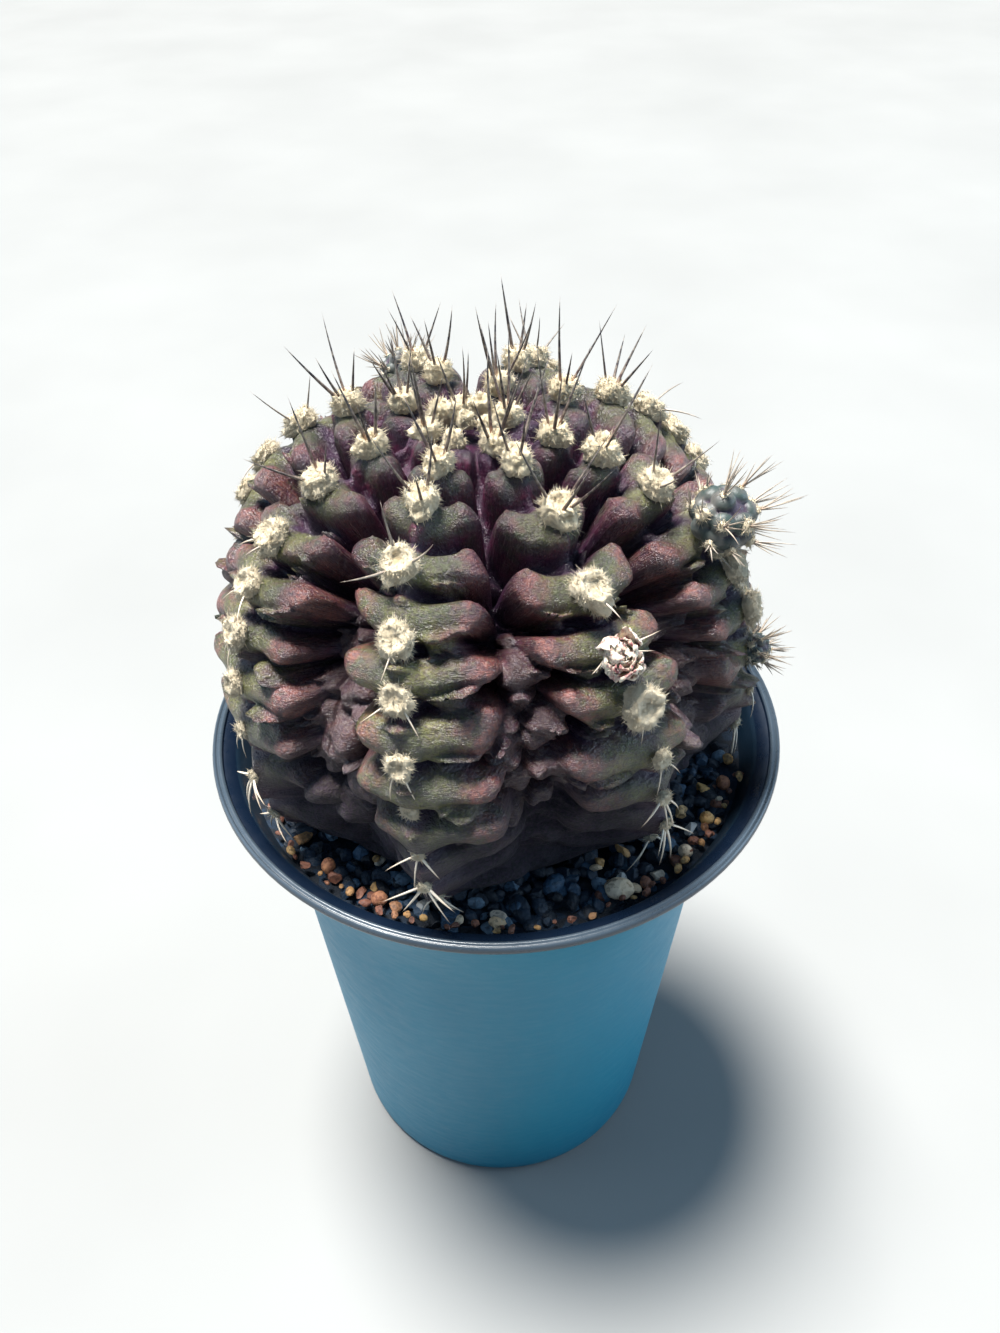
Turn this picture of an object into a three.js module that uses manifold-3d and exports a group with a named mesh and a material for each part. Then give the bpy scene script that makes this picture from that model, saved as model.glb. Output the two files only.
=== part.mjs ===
// A chin cactus of the banded, saw-backed kind, growing in a tapered round plastic pot.
// Millimetres, +Z up. The origin is the centre of the pot's flat base, and -Y is the front.
//
// The plant has eight ribs. Each rib carries woolly areoles along its crest, and under every
// areole a thick roll of flesh crosses the rib and runs down both flanks into the furrows.

import * as THREE from 'three';
import { mergeVertices } from 'three/addons/utils/BufferGeometryUtils.js';
import Module from 'manifold-3d';

const wasm = await Module();
wasm.setup();

// Pot
const RIM_RADIUS = 45;
const POT_HEIGHT = 99;
const BASE_RADIUS = 29.8;
const WALL = 1.1;
const WALL_RISE = 0.0724; // radius gained per millimetre of height on the straight part
const FLARE_START = 73; // height where the wall begins to open towards the rim
const FLARE_REACH = 5.7; // extra radius that the flare has gained at the rim
const LIP_WIDTH = 2.3;
const LIP_DEPTH = 2.2;
const FLOOR = 1.3;
const DRAIN_HOLES = 6;
const DRAIN_RADIUS = 3;
const DRAIN_CIRCLE = 20;
const POT_SEGMENTS = 56;

// Soil
const CLEARANCE = 0.35; // gap between pieces that touch
const SOIL_LEVEL = POT_HEIGHT - 5.6;
const SOIL_SWELL = 0.7; // how far the grit on top dips below its level

// Plant
const PLANT_X = -1.9; // the plant stands a little left of the pot's centre
const PLANT_RADIUS = 41.8;
const WIDEST_LEVEL = POT_HEIGHT + 8;
const CROWN_HEIGHT = 45.6; // from the widest level up to the crown
const SHOULDER = 2.75; // superellipse exponent of the upper outline
const FOOT_RADIUS = 26;
const FOOT_DROP = 15.5; // from the widest level down to the foot
const FOOT_SLOPE = 1.35; // superellipse exponent of the lower outline, near a straight cone
const NECK_RADIUS = 7;
const NECK_DROP = 12;
const ROOT_LENGTH = 24;
const ROOT_TIP_RADIUS = 3;
const CROWN_DIP = 4.5;

// Ribs, counted round from the front towards +X. The azimuth of the crest halfway down and its
// twist from there to the foot are in degrees, inset is how far the crest lies inside the
// plant's outline, and areoles are distances along the crest from the crown's centre.
const RIBS = [
  { azimuth: -13, twist: 8, inset: 0, areoles: [13, 19.5, 28, 36.5, 43.5, 51, 58, 65, 70.5, 77] },
  { azimuth: 33, twist: 12, inset: 2.5, areoles: [6, 12, 21, 32, 40.5, 48, 58.5, 66, 73, 80] },
  { azimuth: 71, twist: 12, inset: 1.4, areoles: [11, 17.5, 25.5, 34.5, 42, 49.5, 58, 67, 76] },
  { azimuth: 117, twist: -4, inset: 1.4, areoles: [5, 13.5, 21.5, 29, 36, 43.5, 51, 59, 67, 76] },
  { azimuth: 161, twist: 0, inset: 0.5, areoles: [9, 17.5, 26, 34, 42, 50, 58, 66, 75] },
  { azimuth: 205, twist: 0, inset: 0.5, areoles: [5, 12.5, 20.5, 29, 37, 45, 53, 61, 69, 77] },
  { azimuth: 250, twist: 4, inset: 2, areoles: [10.5, 19, 28, 37.5, 45.5, 53.5, 62, 70, 78] },
  { azimuth: 303, twist: 11, inset: 2, areoles: [7, 14.5, 22.5, 32, 39, 46, 53.5, 61, 69, 77] },
];
const TWIST_CENTRE = 47; // distance from the crown at which a crest has its own azimuth
const TWIST_SPAN = 50;
const RIB_COLUMNS = [-1, -0.8, -0.55, -0.28, 0, 0.28, 0.55, 0.8];
const PLANT_ROWS = 41; // rows of facets from the crown to the foot, four to a roll
const FURROW_DEPTH = 13;
const ROLL_DEPTH = 3.4;
const ROLL_RISE = 0.4; // how far a roll climbs towards the crown, in rolls, by the furrow
const KNOB = 1.5; // swelling at the end of a roll
const LUMP = 2.6; // height of the lumps low in the furrows
const LUMPS_PER_FURROW = 5;

// Areoles and spines
const TUFT_RADIUS = 2.4;
const SPINE_RADIUS = 0.42;
const POT_GAP = 0.5; // wool and spines keep this far from the pot and the soil

// Pups, which are young heads that sit on a crest in place of an areole, and a spent flower.
// Each has the rib it sits on, the number of the areole it replaces and its radius.
const PUPS = [
  { name: 'offset_right', rib: 2, place: 3, radius: 3.9, spine: 9 },
  { name: 'offset_lower_right', rib: 2, place: 6, radius: 2.6, spine: 5 },
  { name: 'offset_back_left', rib: 5, place: 3, radius: 3.9, spine: 7 },
];
const REMNANT = { rib: 1, place: 4, radius: 2.8 };
const PUP_SPINES = 16;
const BALL_SINK = 0.82; // height of a ball's centre above its flat foot, in radii

// Loose stones that lie on the grit, with the place of each on it and its half sizes.
const STONES = [
  { name: 'pebble_beige', x: 17.2, y: -32.4, size: [2.9, 1.7, 1.3], color: 0xc9b48f },
  { name: 'stone_orange_left', x: -24.4, y: -27.6, size: [1.5, 1.1, 1.3], color: 0xa5643c },
  { name: 'stone_orange_front', x: -16.6, y: -33.4, size: [1.5, 1.2, 1.1], color: 0x9c6a48 },
  { name: 'stone_ochre_right', x: 31.6, y: -19.4, size: [1.3, 1.1, 1.1], color: 0xb98a3e },
  { name: 'stone_orange_right', x: 35.2, y: -12.4, size: [1.5, 1.2, 1.2], color: 0xa5643c },
  { name: 'stone_buff_right', x: 27.6, y: -25.6, size: [1.4, 1.1, 1.1], color: 0xc9b48f },
  { name: 'stone_brown_back', x: -14.5, y: 34.6, size: [1.6, 1.2, 1.2], color: 0x7c5a40 },
  { name: 'stone_buff_back', x: 17.5, y: 33.2, size: [1.5, 1.3, 1.1], color: 0xb4a184 },
];

const rad = THREE.MathUtils.degToRad;
const lerp = THREE.MathUtils.lerp;
const smooth = (x, low, high) => THREE.MathUtils.smoothstep(x, low, high);

// A repeatable random number from 0 to 1 for up to three whole numbers.
function chance(a, b = 0, c = 0) {
  const x = Math.sin(a * 127.1 + b * 311.7 + c * 74.7) * 43758.5453;
  return x - Math.floor(x);
}

// The number between low and high that chance gives.
const between = (low, high, a, b, c) => lerp(low, high, chance(a, b, c));

// ---- booleans

function toSolid(geometry) {
  const bare = geometry.index ? geometry.toNonIndexed() : geometry.clone();
  bare.deleteAttribute('normal');
  bare.deleteAttribute('uv');
  const merged = mergeVertices(bare, 1e-4);
  const corners = merged.index.array;
  const faces = [];
  for (let i = 0; i < corners.length; i += 3) {
    const [a, b, c] = corners.slice(i, i + 3);
    if (a !== b && b !== c && c !== a) faces.push(a, b, c);
  }
  return new wasm.Manifold(
    new wasm.Mesh({
      numProp: 3,
      vertProperties: merged.attributes.position.array,
      triVerts: new Uint32Array(faces),
    }),
  );
}

function toGeometry(solid) {
  const { vertProperties, triVerts } = solid.getMesh();
  const geometry = new THREE.BufferGeometry();
  geometry.setAttribute('position', new THREE.BufferAttribute(vertProperties, 3));
  geometry.setIndex(new THREE.BufferAttribute(triVerts, 1));
  geometry.computeVertexNormals();
  return geometry;
}

// A closed surface of stacked rings. Its first and last rows are single points.
function ringSurface(rows, columns, pointAt) {
  const positions = [];
  const faces = [];
  const first = pointAt(0, 0);
  positions.push(first.x, first.y, first.z);
  for (let row = 1; row < rows; row++) {
    for (let column = 0; column < columns; column++) {
      const p = pointAt(row, column);
      positions.push(p.x, p.y, p.z);
    }
  }
  const last = pointAt(rows, 0);
  positions.push(last.x, last.y, last.z);
  const tail = positions.length / 3 - 1;
  const at = (row, column) => 1 + (row - 1) * columns + (column % columns);
  for (let column = 0; column < columns; column++) {
    faces.push(0, at(1, column), at(1, column + 1));
    for (let row = 1; row < rows - 1; row++) {
      faces.push(at(row, column), at(row + 1, column), at(row + 1, column + 1));
      faces.push(at(row, column), at(row + 1, column + 1), at(row, column + 1));
    }
    faces.push(at(rows - 1, column), tail, at(rows - 1, column + 1));
  }
  const geometry = new THREE.BufferGeometry();
  geometry.setAttribute('position', new THREE.Float32BufferAttribute(positions, 3));
  geometry.setIndex(faces);
  geometry.computeVertexNormals();
  return geometry;
}

// ---- the pot

// Outer radius of the pot's wall at a height.
function wallRadius(height) {
  const flare = Math.max(0, (height - FLARE_START) / (POT_HEIGHT - FLARE_START));
  return BASE_RADIUS + WALL_RISE * height + FLARE_REACH * flare * flare;
}

function potGeometry() {
  const points = [new THREE.Vector2(0, 0), new THREE.Vector2(BASE_RADIUS - 1, 0)];
  const lipFoot = POT_HEIGHT - LIP_DEPTH;
  const levels = [1, FLARE_START, 80, 86, 91, lipFoot];
  for (const z of levels) points.push(new THREE.Vector2(wallRadius(z), z));
  points.push(new THREE.Vector2(RIM_RADIUS - 0.4, lipFoot));
  points.push(new THREE.Vector2(RIM_RADIUS, lipFoot + 0.7));
  points.push(new THREE.Vector2(RIM_RADIUS, POT_HEIGHT - 0.6));
  points.push(new THREE.Vector2(RIM_RADIUS - 0.6, POT_HEIGHT));
  points.push(new THREE.Vector2(RIM_RADIUS - LIP_WIDTH + 0.4, POT_HEIGHT));
  points.push(new THREE.Vector2(RIM_RADIUS - LIP_WIDTH, POT_HEIGHT - 0.5));
  for (const z of [lipFoot, 91, 86, 80, FLARE_START, FLOOR]) {
    points.push(new THREE.Vector2(wallRadius(z) - WALL, z));
  }
  points.push(new THREE.Vector2(0, FLOOR));
  const lathe = new THREE.LatheGeometry(points, POT_SEGMENTS);
  lathe.rotateX(Math.PI / 2);
  let pot = toSolid(lathe);
  for (let hole = 0; hole < DRAIN_HOLES; hole++) {
    const angle = (hole / DRAIN_HOLES) * 2 * Math.PI;
    const cutter = new THREE.CylinderGeometry(DRAIN_RADIUS, DRAIN_RADIUS, 4 * FLOOR, 16);
    cutter.rotateX(Math.PI / 2);
    cutter.translate(DRAIN_CIRCLE * Math.cos(angle), DRAIN_CIRCLE * Math.sin(angle), 0);
    pot = pot.subtract(toSolid(cutter));
  }
  return toGeometry(pot);
}

// ---- the plant's outline, followed along a crest from the crown down to the root's tip

function outlinePoints() {
  const points = [];
  const turns = 240;
  for (let i = 0; i <= turns; i++) {
    const angle = (Math.PI / 2) * (1 - i / turns);
    points.push({
      r: PLANT_RADIUS * Math.cos(angle) ** (2 / SHOULDER),
      z: WIDEST_LEVEL + CROWN_HEIGHT * Math.sin(angle) ** (2 / SHOULDER),
    });
  }
  points[0].r = 0;
  for (let i = 1; i <= turns / 4; i++) {
    const angle = (Math.PI / 2) * (i / (turns / 4));
    const cosine = Math.max(0, Math.cos(angle));
    points.push({
      r: FOOT_RADIUS + (PLANT_RADIUS - FOOT_RADIUS) * cosine ** (2 / FOOT_SLOPE),
      z: WIDEST_LEVEL - FOOT_DROP * Math.sin(angle) ** (2 / FOOT_SLOPE),
    });
  }
  let travelled = 0;
  points.forEach((p, i) => {
    if (i > 0) travelled += Math.hypot(p.r - points[i - 1].r, p.z - points[i - 1].z);
    p.along = travelled;
  });
  return points;
}

const OUTLINE = outlinePoints();
const OUTLINE_LENGTH = OUTLINE[OUTLINE.length - 1].along;

// Radius, height and outward slope of the crest outline at a distance from the crown.
function outlineAt(along) {
  let i = OUTLINE.findIndex((p) => p.along >= along);
  i = i < 1 ? 1 : i;
  const a = OUTLINE[i - 1];
  const b = OUTLINE[i];
  const t = (along - a.along) / (b.along - a.along);
  const span = Math.hypot(b.r - a.r, b.z - a.z);
  return {
    r: lerp(a.r, b.r, t),
    z: lerp(a.z, b.z, t),
    outR: -(b.z - a.z) / span,
    outZ: Math.max(0, (b.r - a.r) / span),
  };
}

// Azimuth of a crest at a distance from the crown.
function crestAzimuth(j, along) {
  const count = RIBS.length;
  const { azimuth, twist } = RIBS[(j + count) % count];
  const laps = Math.floor(j / count);
  return azimuth + 360 * laps + (twist * (along - TWIST_CENTRE)) / TWIST_SPAN;
}

// Azimuth of a place on rib number j, where across runs from -1 to 1 between its furrows.
function ribAzimuth(j, across, along) {
  const here = crestAzimuth(j, along);
  const next = crestAzimuth(across < 0 ? j - 1 : j + 1, along);
  return lerp(here, (here + next) / 2, Math.abs(across));
}

// The number of rolls from a rib's first areole to a place on its crest, with a fraction.
function rollAt(j, along) {
  const { areoles } = RIBS[j];
  const last = areoles.length - 1;
  let i = areoles.findIndex((place) => place > along) - 1;
  if (along < areoles[0]) i = 0;
  if (along >= areoles[last]) i = last - 1;
  return i + (along - areoles[i]) / (areoles[i + 1] - areoles[i]);
}

// The place on a rib's crest of a roll number with a fraction.
function placeOf(j, roll) {
  const { areoles } = RIBS[j];
  const i = Math.min(areoles.length - 2, Math.max(0, Math.floor(roll)));
  return lerp(areoles[i], areoles[i + 1], roll - i);
}

// How far the skin lies inside the crest outline.
function skinDepth(j, across, along) {
  const side = across < 0 ? 0 : 1;
  const off = Math.abs(across);
  const fade = 1 - smooth(along, OUTLINE_LENGTH - 16, OUTLINE_LENGTH - 7);
  const opening = smooth(along, 0, 34);
  const foot = lerp(1, 0.45, smooth(along, OUTLINE_LENGTH - 34, OUTLINE_LENGTH - 8));
  const flank = 1 - (1 - off ** 2.2) ** 0.7;
  let depth = FURROW_DEPTH * opening * foot * flank + RIBS[j].inset * opening * (1 - off);

  const turn = rollAt(j, along) + ROLL_RISE * off * off * opening;
  const roll = Math.round(turn);
  const w = Math.abs(turn - roll) * 2;
  const groove = 1 - Math.sqrt(Math.max(0, 1 - w * w));
  const plump = between(0.75, 1.15, j, roll + 20, 3 + side);
  const depthHere = lerp(0.5, 1, smooth(off, 0.05, 0.5)) * (1 - 0.4 * smooth(off, 0.85, 1));
  const young = smooth(along, 3, 20);
  depth += ROLL_DEPTH * plump * groove * depthHere * young * fade;

  const end = Math.exp(-(((off - 0.68) / 0.16) ** 2));
  const knob = KNOB * between(0.4, 1.3, j, roll + 20, 7 + side);
  depth -= knob * end * (1 - groove) * young * fade;
  return depth + CROWN_DIP * Math.exp(-((along / 7) ** 2));
}

// Irregular lumps that crowd the lower half of each furrow.
function furrowLumps(azimuth, along) {
  let height = 0;
  for (let j = 0; j < RIBS.length; j++) {
    for (let i = 0; i < LUMPS_PER_FURROW; i++) {
      const level = 44 + i * 8.5 + between(-3, 3, j, i, 12);
      const at = ribAzimuth(j, 1, level) + between(-8, 8, j, i, 11);
      const away = ((azimuth - at + 540) % 360) - 180;
      const sideways = rad(away) * 30;
      const size = between(3.2, 4.8, j, i, 13);
      const near = Math.hypot(sideways, along - level) / size;
      height += LUMP * between(0.7, 1.3, j, i, 14) * Math.exp(-(near ** 2) * 1.4);
    }
  }
  return height;
}

// A point of the skin on rib number j.
function skinPoint(j, across, along) {
  const azimuth = ribAzimuth(j, across, along);
  const { r, z, outR, outZ } = outlineAt(along);
  const level = smooth(along, OUTLINE_LENGTH - 12, OUTLINE_LENGTH - 7);
  const depth = skinDepth(j, across, along) - furrowLumps(azimuth, along) * (1 - level);
  const radius = Math.max(0.4, r - depth * Math.max(0.12, outR));
  const angle = rad(azimuth);
  return new THREE.Vector3(
    PLANT_X + radius * Math.sin(angle),
    -radius * Math.cos(angle),
    z - depth * outZ,
  );
}

// The distance from the crown of a row of facets, which follows the rolls of its own rib.
function rowPlace(j, across, row) {
  const first = RIBS[j].areoles[0];
  const lead = Math.max(2, Math.round(first / 2));
  const free = row <= lead ? (first * row) / lead : placeOf(j, (row - lead) / 4);
  const rise = ROLL_RISE * across * across * smooth(free, 0, 34);
  const step = placeOf(j, rollAt(j, free) + 1) - free;
  const risen = free - rise * step;
  const end = placeOf(j, (PLANT_ROWS - lead) / 4);
  return risen + (OUTLINE_LENGTH - end + (free - risen)) * smooth(row, PLANT_ROWS - 9, PLANT_ROWS);
}

// Rows of the plant: skin rows from the crown to the foot, then the neck and the root.
const ROOT_ROWS = [
  { r: NECK_RADIUS + 9, z: -0.55 * NECK_DROP },
  { r: NECK_RADIUS, z: -NECK_DROP },
  { r: ROOT_TIP_RADIUS, z: -NECK_DROP - ROOT_LENGTH },
];
const FOOT_LEVEL = WIDEST_LEVEL - FOOT_DROP;
const COLUMNS = RIBS.length * RIB_COLUMNS.length;

function plantPoint(row, column) {
  const j = Math.floor(column / RIB_COLUMNS.length);
  const across = RIB_COLUMNS[column % RIB_COLUMNS.length];
  const top = WIDEST_LEVEL + CROWN_HEIGHT - CROWN_DIP;
  if (row === 0) return new THREE.Vector3(PLANT_X, 0, top);
  if (row <= PLANT_ROWS) {
    const along = Math.min(OUTLINE_LENGTH, rowPlace(j, across, row));
    return skinPoint(j, across, along);
  }
  const below = ROOT_ROWS[row - PLANT_ROWS - 1];
  if (!below) {
    return new THREE.Vector3(PLANT_X, 0, FOOT_LEVEL - NECK_DROP - ROOT_LENGTH - 2);
  }
  const angle = rad(ribAzimuth(j, across, OUTLINE_LENGTH));
  return new THREE.Vector3(
    PLANT_X + below.r * Math.sin(angle),
    -below.r * Math.cos(angle),
    FOOT_LEVEL + below.z,
  );
}

const BODY_ROWS = PLANT_ROWS + ROOT_ROWS.length + 1;

// ---- areoles: a pad of wool with spines standing in it

// A frame whose z axis points out of the crest and whose x axis points down it.
function crestFrame(j, along) {
  const step = 0.6;
  const here = skinPoint(j, 0, along);
  const down = skinPoint(j, 0, along + step).sub(skinPoint(j, 0, along - step)).normalize();
  const { outR, outZ } = outlineAt(along);
  const angle = rad(crestAzimuth(j, along));
  const out = new THREE.Vector3(outR * Math.sin(angle), -outR * Math.cos(angle), outZ);
  const aside = new THREE.Vector3().crossVectors(out, down).normalize();
  const ahead = new THREE.Vector3().crossVectors(aside, out).normalize();
  return new THREE.Matrix4().makeBasis(ahead, aside, out.normalize()).setPosition(here);
}

// A five-sided pad of wool, a little narrower at its top.
function tuft(radius, height) {
  const pad = new THREE.CylinderGeometry(0.75 * radius, radius, height, 5);
  pad.rotateX(Math.PI / 2);
  return pad;
}

// A three-sided spine that starts in the wool, leans over by tilt and points towards heading.
function spine(length, tilt, heading) {
  const needle = new THREE.ConeGeometry(SPINE_RADIUS, length, 3);
  needle.rotateX(Math.PI / 2);
  needle.translate(0, 0, length / 2 - 0.6);
  needle.rotateY(tilt);
  needle.rotateZ(heading);
  return needle;
}

// Number, length and lean of an areole's spines, which change from the crown to the foot.
function spineRule(j, k, along) {
  const crown = 1 - smooth(along, 14, 42);
  const foot = smooth(along, 60, 72);
  return {
    count: 2 + Math.round(crown + 2 * foot),
    length: (n) => lerp(lerp(4.6, 6.4, foot), 9.5, crown) * between(0.8, 1.25, j, k, 30 + n),
    tilt: (n) => rad(lerp(lerp(64, 50, foot), 24, crown) * between(0.75, 1.2, j, k, 40 + n)),
    heading: (n, count) => {
      const fan = lerp(lerp(90, 130, foot), 260, crown) / Math.max(1, count - 1);
      return rad((n - (count - 1) / 2) * fan + between(-16, 16, j, k, 50 + n));
    },
  };
}

// True if no corner of a geometry comes near the pot's wall, its rim or the soil.
function clearsPot(geometry) {
  const corners = geometry.attributes.position;
  for (let i = 0; i < corners.count; i++) {
    const reach = Math.hypot(corners.getX(i), corners.getY(i));
    const height = corners.getZ(i);
    const lipFoot = POT_HEIGHT - LIP_DEPTH;
    const inside = height > lipFoot ? RIM_RADIUS - LIP_WIDTH : wallRadius(height) - WALL;
    if (height < POT_HEIGHT + POT_GAP && reach > inside - POT_GAP) return false;
    if (height < SOIL_LEVEL + POT_GAP) return false;
  }
  return true;
}

// Centres of the pieces that sit on a crest, each with the radius that spines keep out of.
function guests() {
  return [...PUPS, REMNANT].map(({ rib, place, radius, spine: reach = 0 }) => {
    const frame = crestFrame(rib, RIBS[rib].areoles[place]);
    const centre = new THREE.Vector3(0, 0, BALL_SINK * radius).applyMatrix4(frame);
    return { rib, place, centre, keepOut: radius + 0.55 * reach + 1 };
  });
}

const GUESTS = guests();

function clearsGuests(geometry) {
  const corners = geometry.attributes.position;
  const corner = new THREE.Vector3();
  for (let i = 0; i < corners.count; i++) {
    corner.fromBufferAttribute(corners, i);
    if (GUESTS.some(({ centre, keepOut }) => corner.distanceTo(centre) < keepOut)) return false;
  }
  return true;
}

function areoleSolids(j, k) {
  if (GUESTS.some(({ rib, place }) => rib === j && place === k)) return [];
  const along = RIBS[j].areoles[k];
  const frame = crestFrame(j, along);
  const old = smooth(along, 52, 80);
  const size = TUFT_RADIUS * lerp(0.8, 1, smooth(along, 5, 20)) * lerp(1, 0.5, old);
  const pad = tuft(size, size * 1.7);
  pad.rotateZ(chance(j, k, 20) * 6);
  pad.translate(0, 0, size * 0.05);
  const needles = [];
  const rule = spineRule(j, k, along);
  for (let n = 0; n < rule.count; n++) {
    const needle = spine(rule.length(n), rule.tilt(n), rule.heading(n, rule.count));
    needle.translate(0, 0, size * 0.5);
    needles.push(needle.applyMatrix4(frame));
  }
  const clear = needles.filter((needle) => clearsPot(needle) && clearsGuests(needle));
  return [pad.applyMatrix4(frame), ...clear].filter(clearsPot).map(toSolid);
}

function plantGeometry() {
  let plant = toSolid(ringSurface(BODY_ROWS, COLUMNS, plantPoint));
  RIBS.forEach(({ areoles }, j) => {
    areoles.forEach((along, k) => {
      for (const part of areoleSolids(j, k)) plant = plant.add(part);
    });
  });
  return toGeometry(plant);
}

// ---- pups and the spent flower, each seated on its crest

// A lumpy ball with a flat foot at the origin.
function lumpyBall(radius, lobes, depth, rows) {
  const columns = lobes * 2;
  return ringSurface(rows, columns, (row, column) => {
    const polar = (row / rows) * Math.PI;
    const angle = (column / columns) * 2 * Math.PI;
    const lobe = 1 - depth * (column % 2) * Math.sin(polar);
    const reach = radius * lobe * Math.sin(polar);
    const height = radius * Math.max(0, Math.cos(polar) + BALL_SINK);
    return new THREE.Vector3(reach * Math.cos(angle), reach * Math.sin(angle), height);
  });
}

function pupGeometry({ rib, place, radius, spine: reach }, seed) {
  let pup = toSolid(lumpyBall(radius, 7, 0.16, 7));
  for (let n = 0; n < PUP_SPINES; n++) {
    const tilt = rad(12 + 74 * Math.sqrt((n + 0.5) / PUP_SPINES));
    const heading = n * 2.4 + seed;
    const length = radius + reach * between(0.75, 1.1, seed, n, 70);
    const needle = new THREE.ConeGeometry(SPINE_RADIUS, length, 3);
    needle.rotateX(Math.PI / 2);
    needle.translate(0, 0, length / 2 + 0.4);
    needle.rotateY(tilt);
    needle.rotateZ(heading);
    needle.translate(0, 0, BALL_SINK * radius);
    pup = pup.add(toSolid(needle));
  }
  return seated(pup, rib, place);
}

function remnantGeometry({ rib, place, radius }) {
  return seated(toSolid(lumpyBall(radius, 8, 0.3, 6)), rib, place);
}

function seated(solid, rib, place) {
  const frame = crestFrame(rib, RIBS[rib].areoles[place]);
  const geometry = toGeometry(solid);
  geometry.translate(0, 0, CLEARANCE);
  return geometry.applyMatrix4(frame);
}

// ---- the soil, a filled cup that the plant's foot and root stand in

function soilRadius(height) {
  return wallRadius(height) - WALL - CLEARANCE;
}

// Height of the plant's underside at a distance from its axis.
function underside(reach) {
  if (reach >= PLANT_RADIUS) return Infinity;
  if (reach >= FOOT_RADIUS) {
    const out = (reach - FOOT_RADIUS) / (PLANT_RADIUS - FOOT_RADIUS);
    return WIDEST_LEVEL - FOOT_DROP * (1 - out ** FOOT_SLOPE) ** (1 / FOOT_SLOPE);
  }
  const shape = [{ r: FOOT_RADIUS, z: 0 }, ...ROOT_ROWS];
  const i = shape.findIndex((p) => p.r <= reach);
  const t = (reach - shape[i].r) / (shape[i - 1].r - shape[i].r);
  return FOOT_LEVEL + lerp(shape[i].z, shape[i - 1].z, t);
}

const SOIL_WALL = [FLOOR + CLEARANCE, FLARE_START, 80, 86, SOIL_LEVEL];
const SOIL_RINGS = [37.2, 34.5, 31.5, FOOT_RADIUS + 1, ROOT_ROWS[0].r + 0.5];
const HOLE_TIP = FOOT_LEVEL - NECK_DROP - ROOT_LENGTH - 3;

function soilPoint(row, column) {
  const j = Math.floor(column / RIB_COLUMNS.length);
  const across = RIB_COLUMNS[column % RIB_COLUMNS.length];
  const angle = rad(ribAzimuth(j, across, OUTLINE_LENGTH));
  const outward = new THREE.Vector3(Math.sin(angle), -Math.cos(angle), 0);
  if (row === 0) return new THREE.Vector3(0, 0, FLOOR + CLEARANCE);
  let n = row - 1;
  if (n < SOIL_WALL.length) {
    return outward.multiplyScalar(soilRadius(SOIL_WALL[n])).setZ(SOIL_WALL[n]);
  }
  n -= SOIL_WALL.length;
  const place = (reach, height) =>
    outward.clone().multiplyScalar(reach).add(new THREE.Vector3(PLANT_X, 0, height));
  if (n < SOIL_RINGS.length) {
    const wall = soilRadius(SOIL_LEVEL) - PLANT_X * outward.x - 0.8;
    const reach = Math.min(SOIL_RINGS[n], wall - n * 0.6);
    const grit = SOIL_LEVEL - between(0, SOIL_SWELL, row, column, 60);
    return place(reach, Math.min(grit, underside(reach) - 2 * CLEARANCE));
  }
  const root = ROOT_ROWS[n - SOIL_RINGS.length + 1];
  if (root) return place(root.r + 2 * CLEARANCE, FOOT_LEVEL + root.z - 2 * CLEARANCE);
  return new THREE.Vector3(PLANT_X, 0, HOLE_TIP);
}

function soilGeometry() {
  const rows = 1 + SOIL_WALL.length + SOIL_RINGS.length + ROOT_ROWS.length - 1;
  return ringSurface(rows, COLUMNS, (row, column) => soilPoint(rows - row, column));
}

// ---- loose stones on the grit

// A rounded stone with an uneven surface that lies just clear of the grit under it.
function stoneGeometry({ x, y, size }, seed) {
  const stone = ringSurface(5, 8, (row, column) => {
    const polar = (row / 5) * Math.PI;
    const angle = (column / 8) * 2 * Math.PI;
    const swell = row === 0 || row === 5 ? 1 : between(0.86, 1.08, seed, row, column);
    const reach = Math.sin(polar) * swell;
    return new THREE.Vector3(reach * Math.cos(angle), reach * Math.sin(angle), Math.cos(polar));
  });
  stone.scale(...size);
  stone.rotateZ(Math.atan2(y, x) + Math.PI / 2);
  const level = SOIL_LEVEL + 0.8 * CLEARANCE + size[2];
  return stone.translate(x, y, level);
}

// ---- assembly

function material(color, roughness) {
  return new THREE.MeshStandardMaterial({ color, roughness, metalness: 0 });
}

function piece(name, geometry, look) {
  const mesh = new THREE.Mesh(geometry, look);
  mesh.name = name;
  return mesh;
}

const part = new THREE.Group();
part.add(piece('pot', potGeometry(), material(0x3c6b7f, 0.45)));
part.add(piece('soil', soilGeometry(), material(0x1c232b, 0.95)));
part.add(piece('cactus_body', plantGeometry(), material(0x43302f, 0.6)));
PUPS.forEach((pup, n) => part.add(piece(pup.name, pupGeometry(pup, n + 1), material(0x4a3a36, 0.6))));
part.add(piece('flower_remnant', remnantGeometry(REMNANT), material(0xc4a79c, 0.9)));
STONES.forEach((stone, n) => {
  part.add(piece(stone.name, stoneGeometry(stone, n + 1), material(stone.color, 0.85)));
});

export default part;
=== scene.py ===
import math

import bmesh
import bpy
import numpy as np
from mathutils import Matrix, Vector


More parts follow.
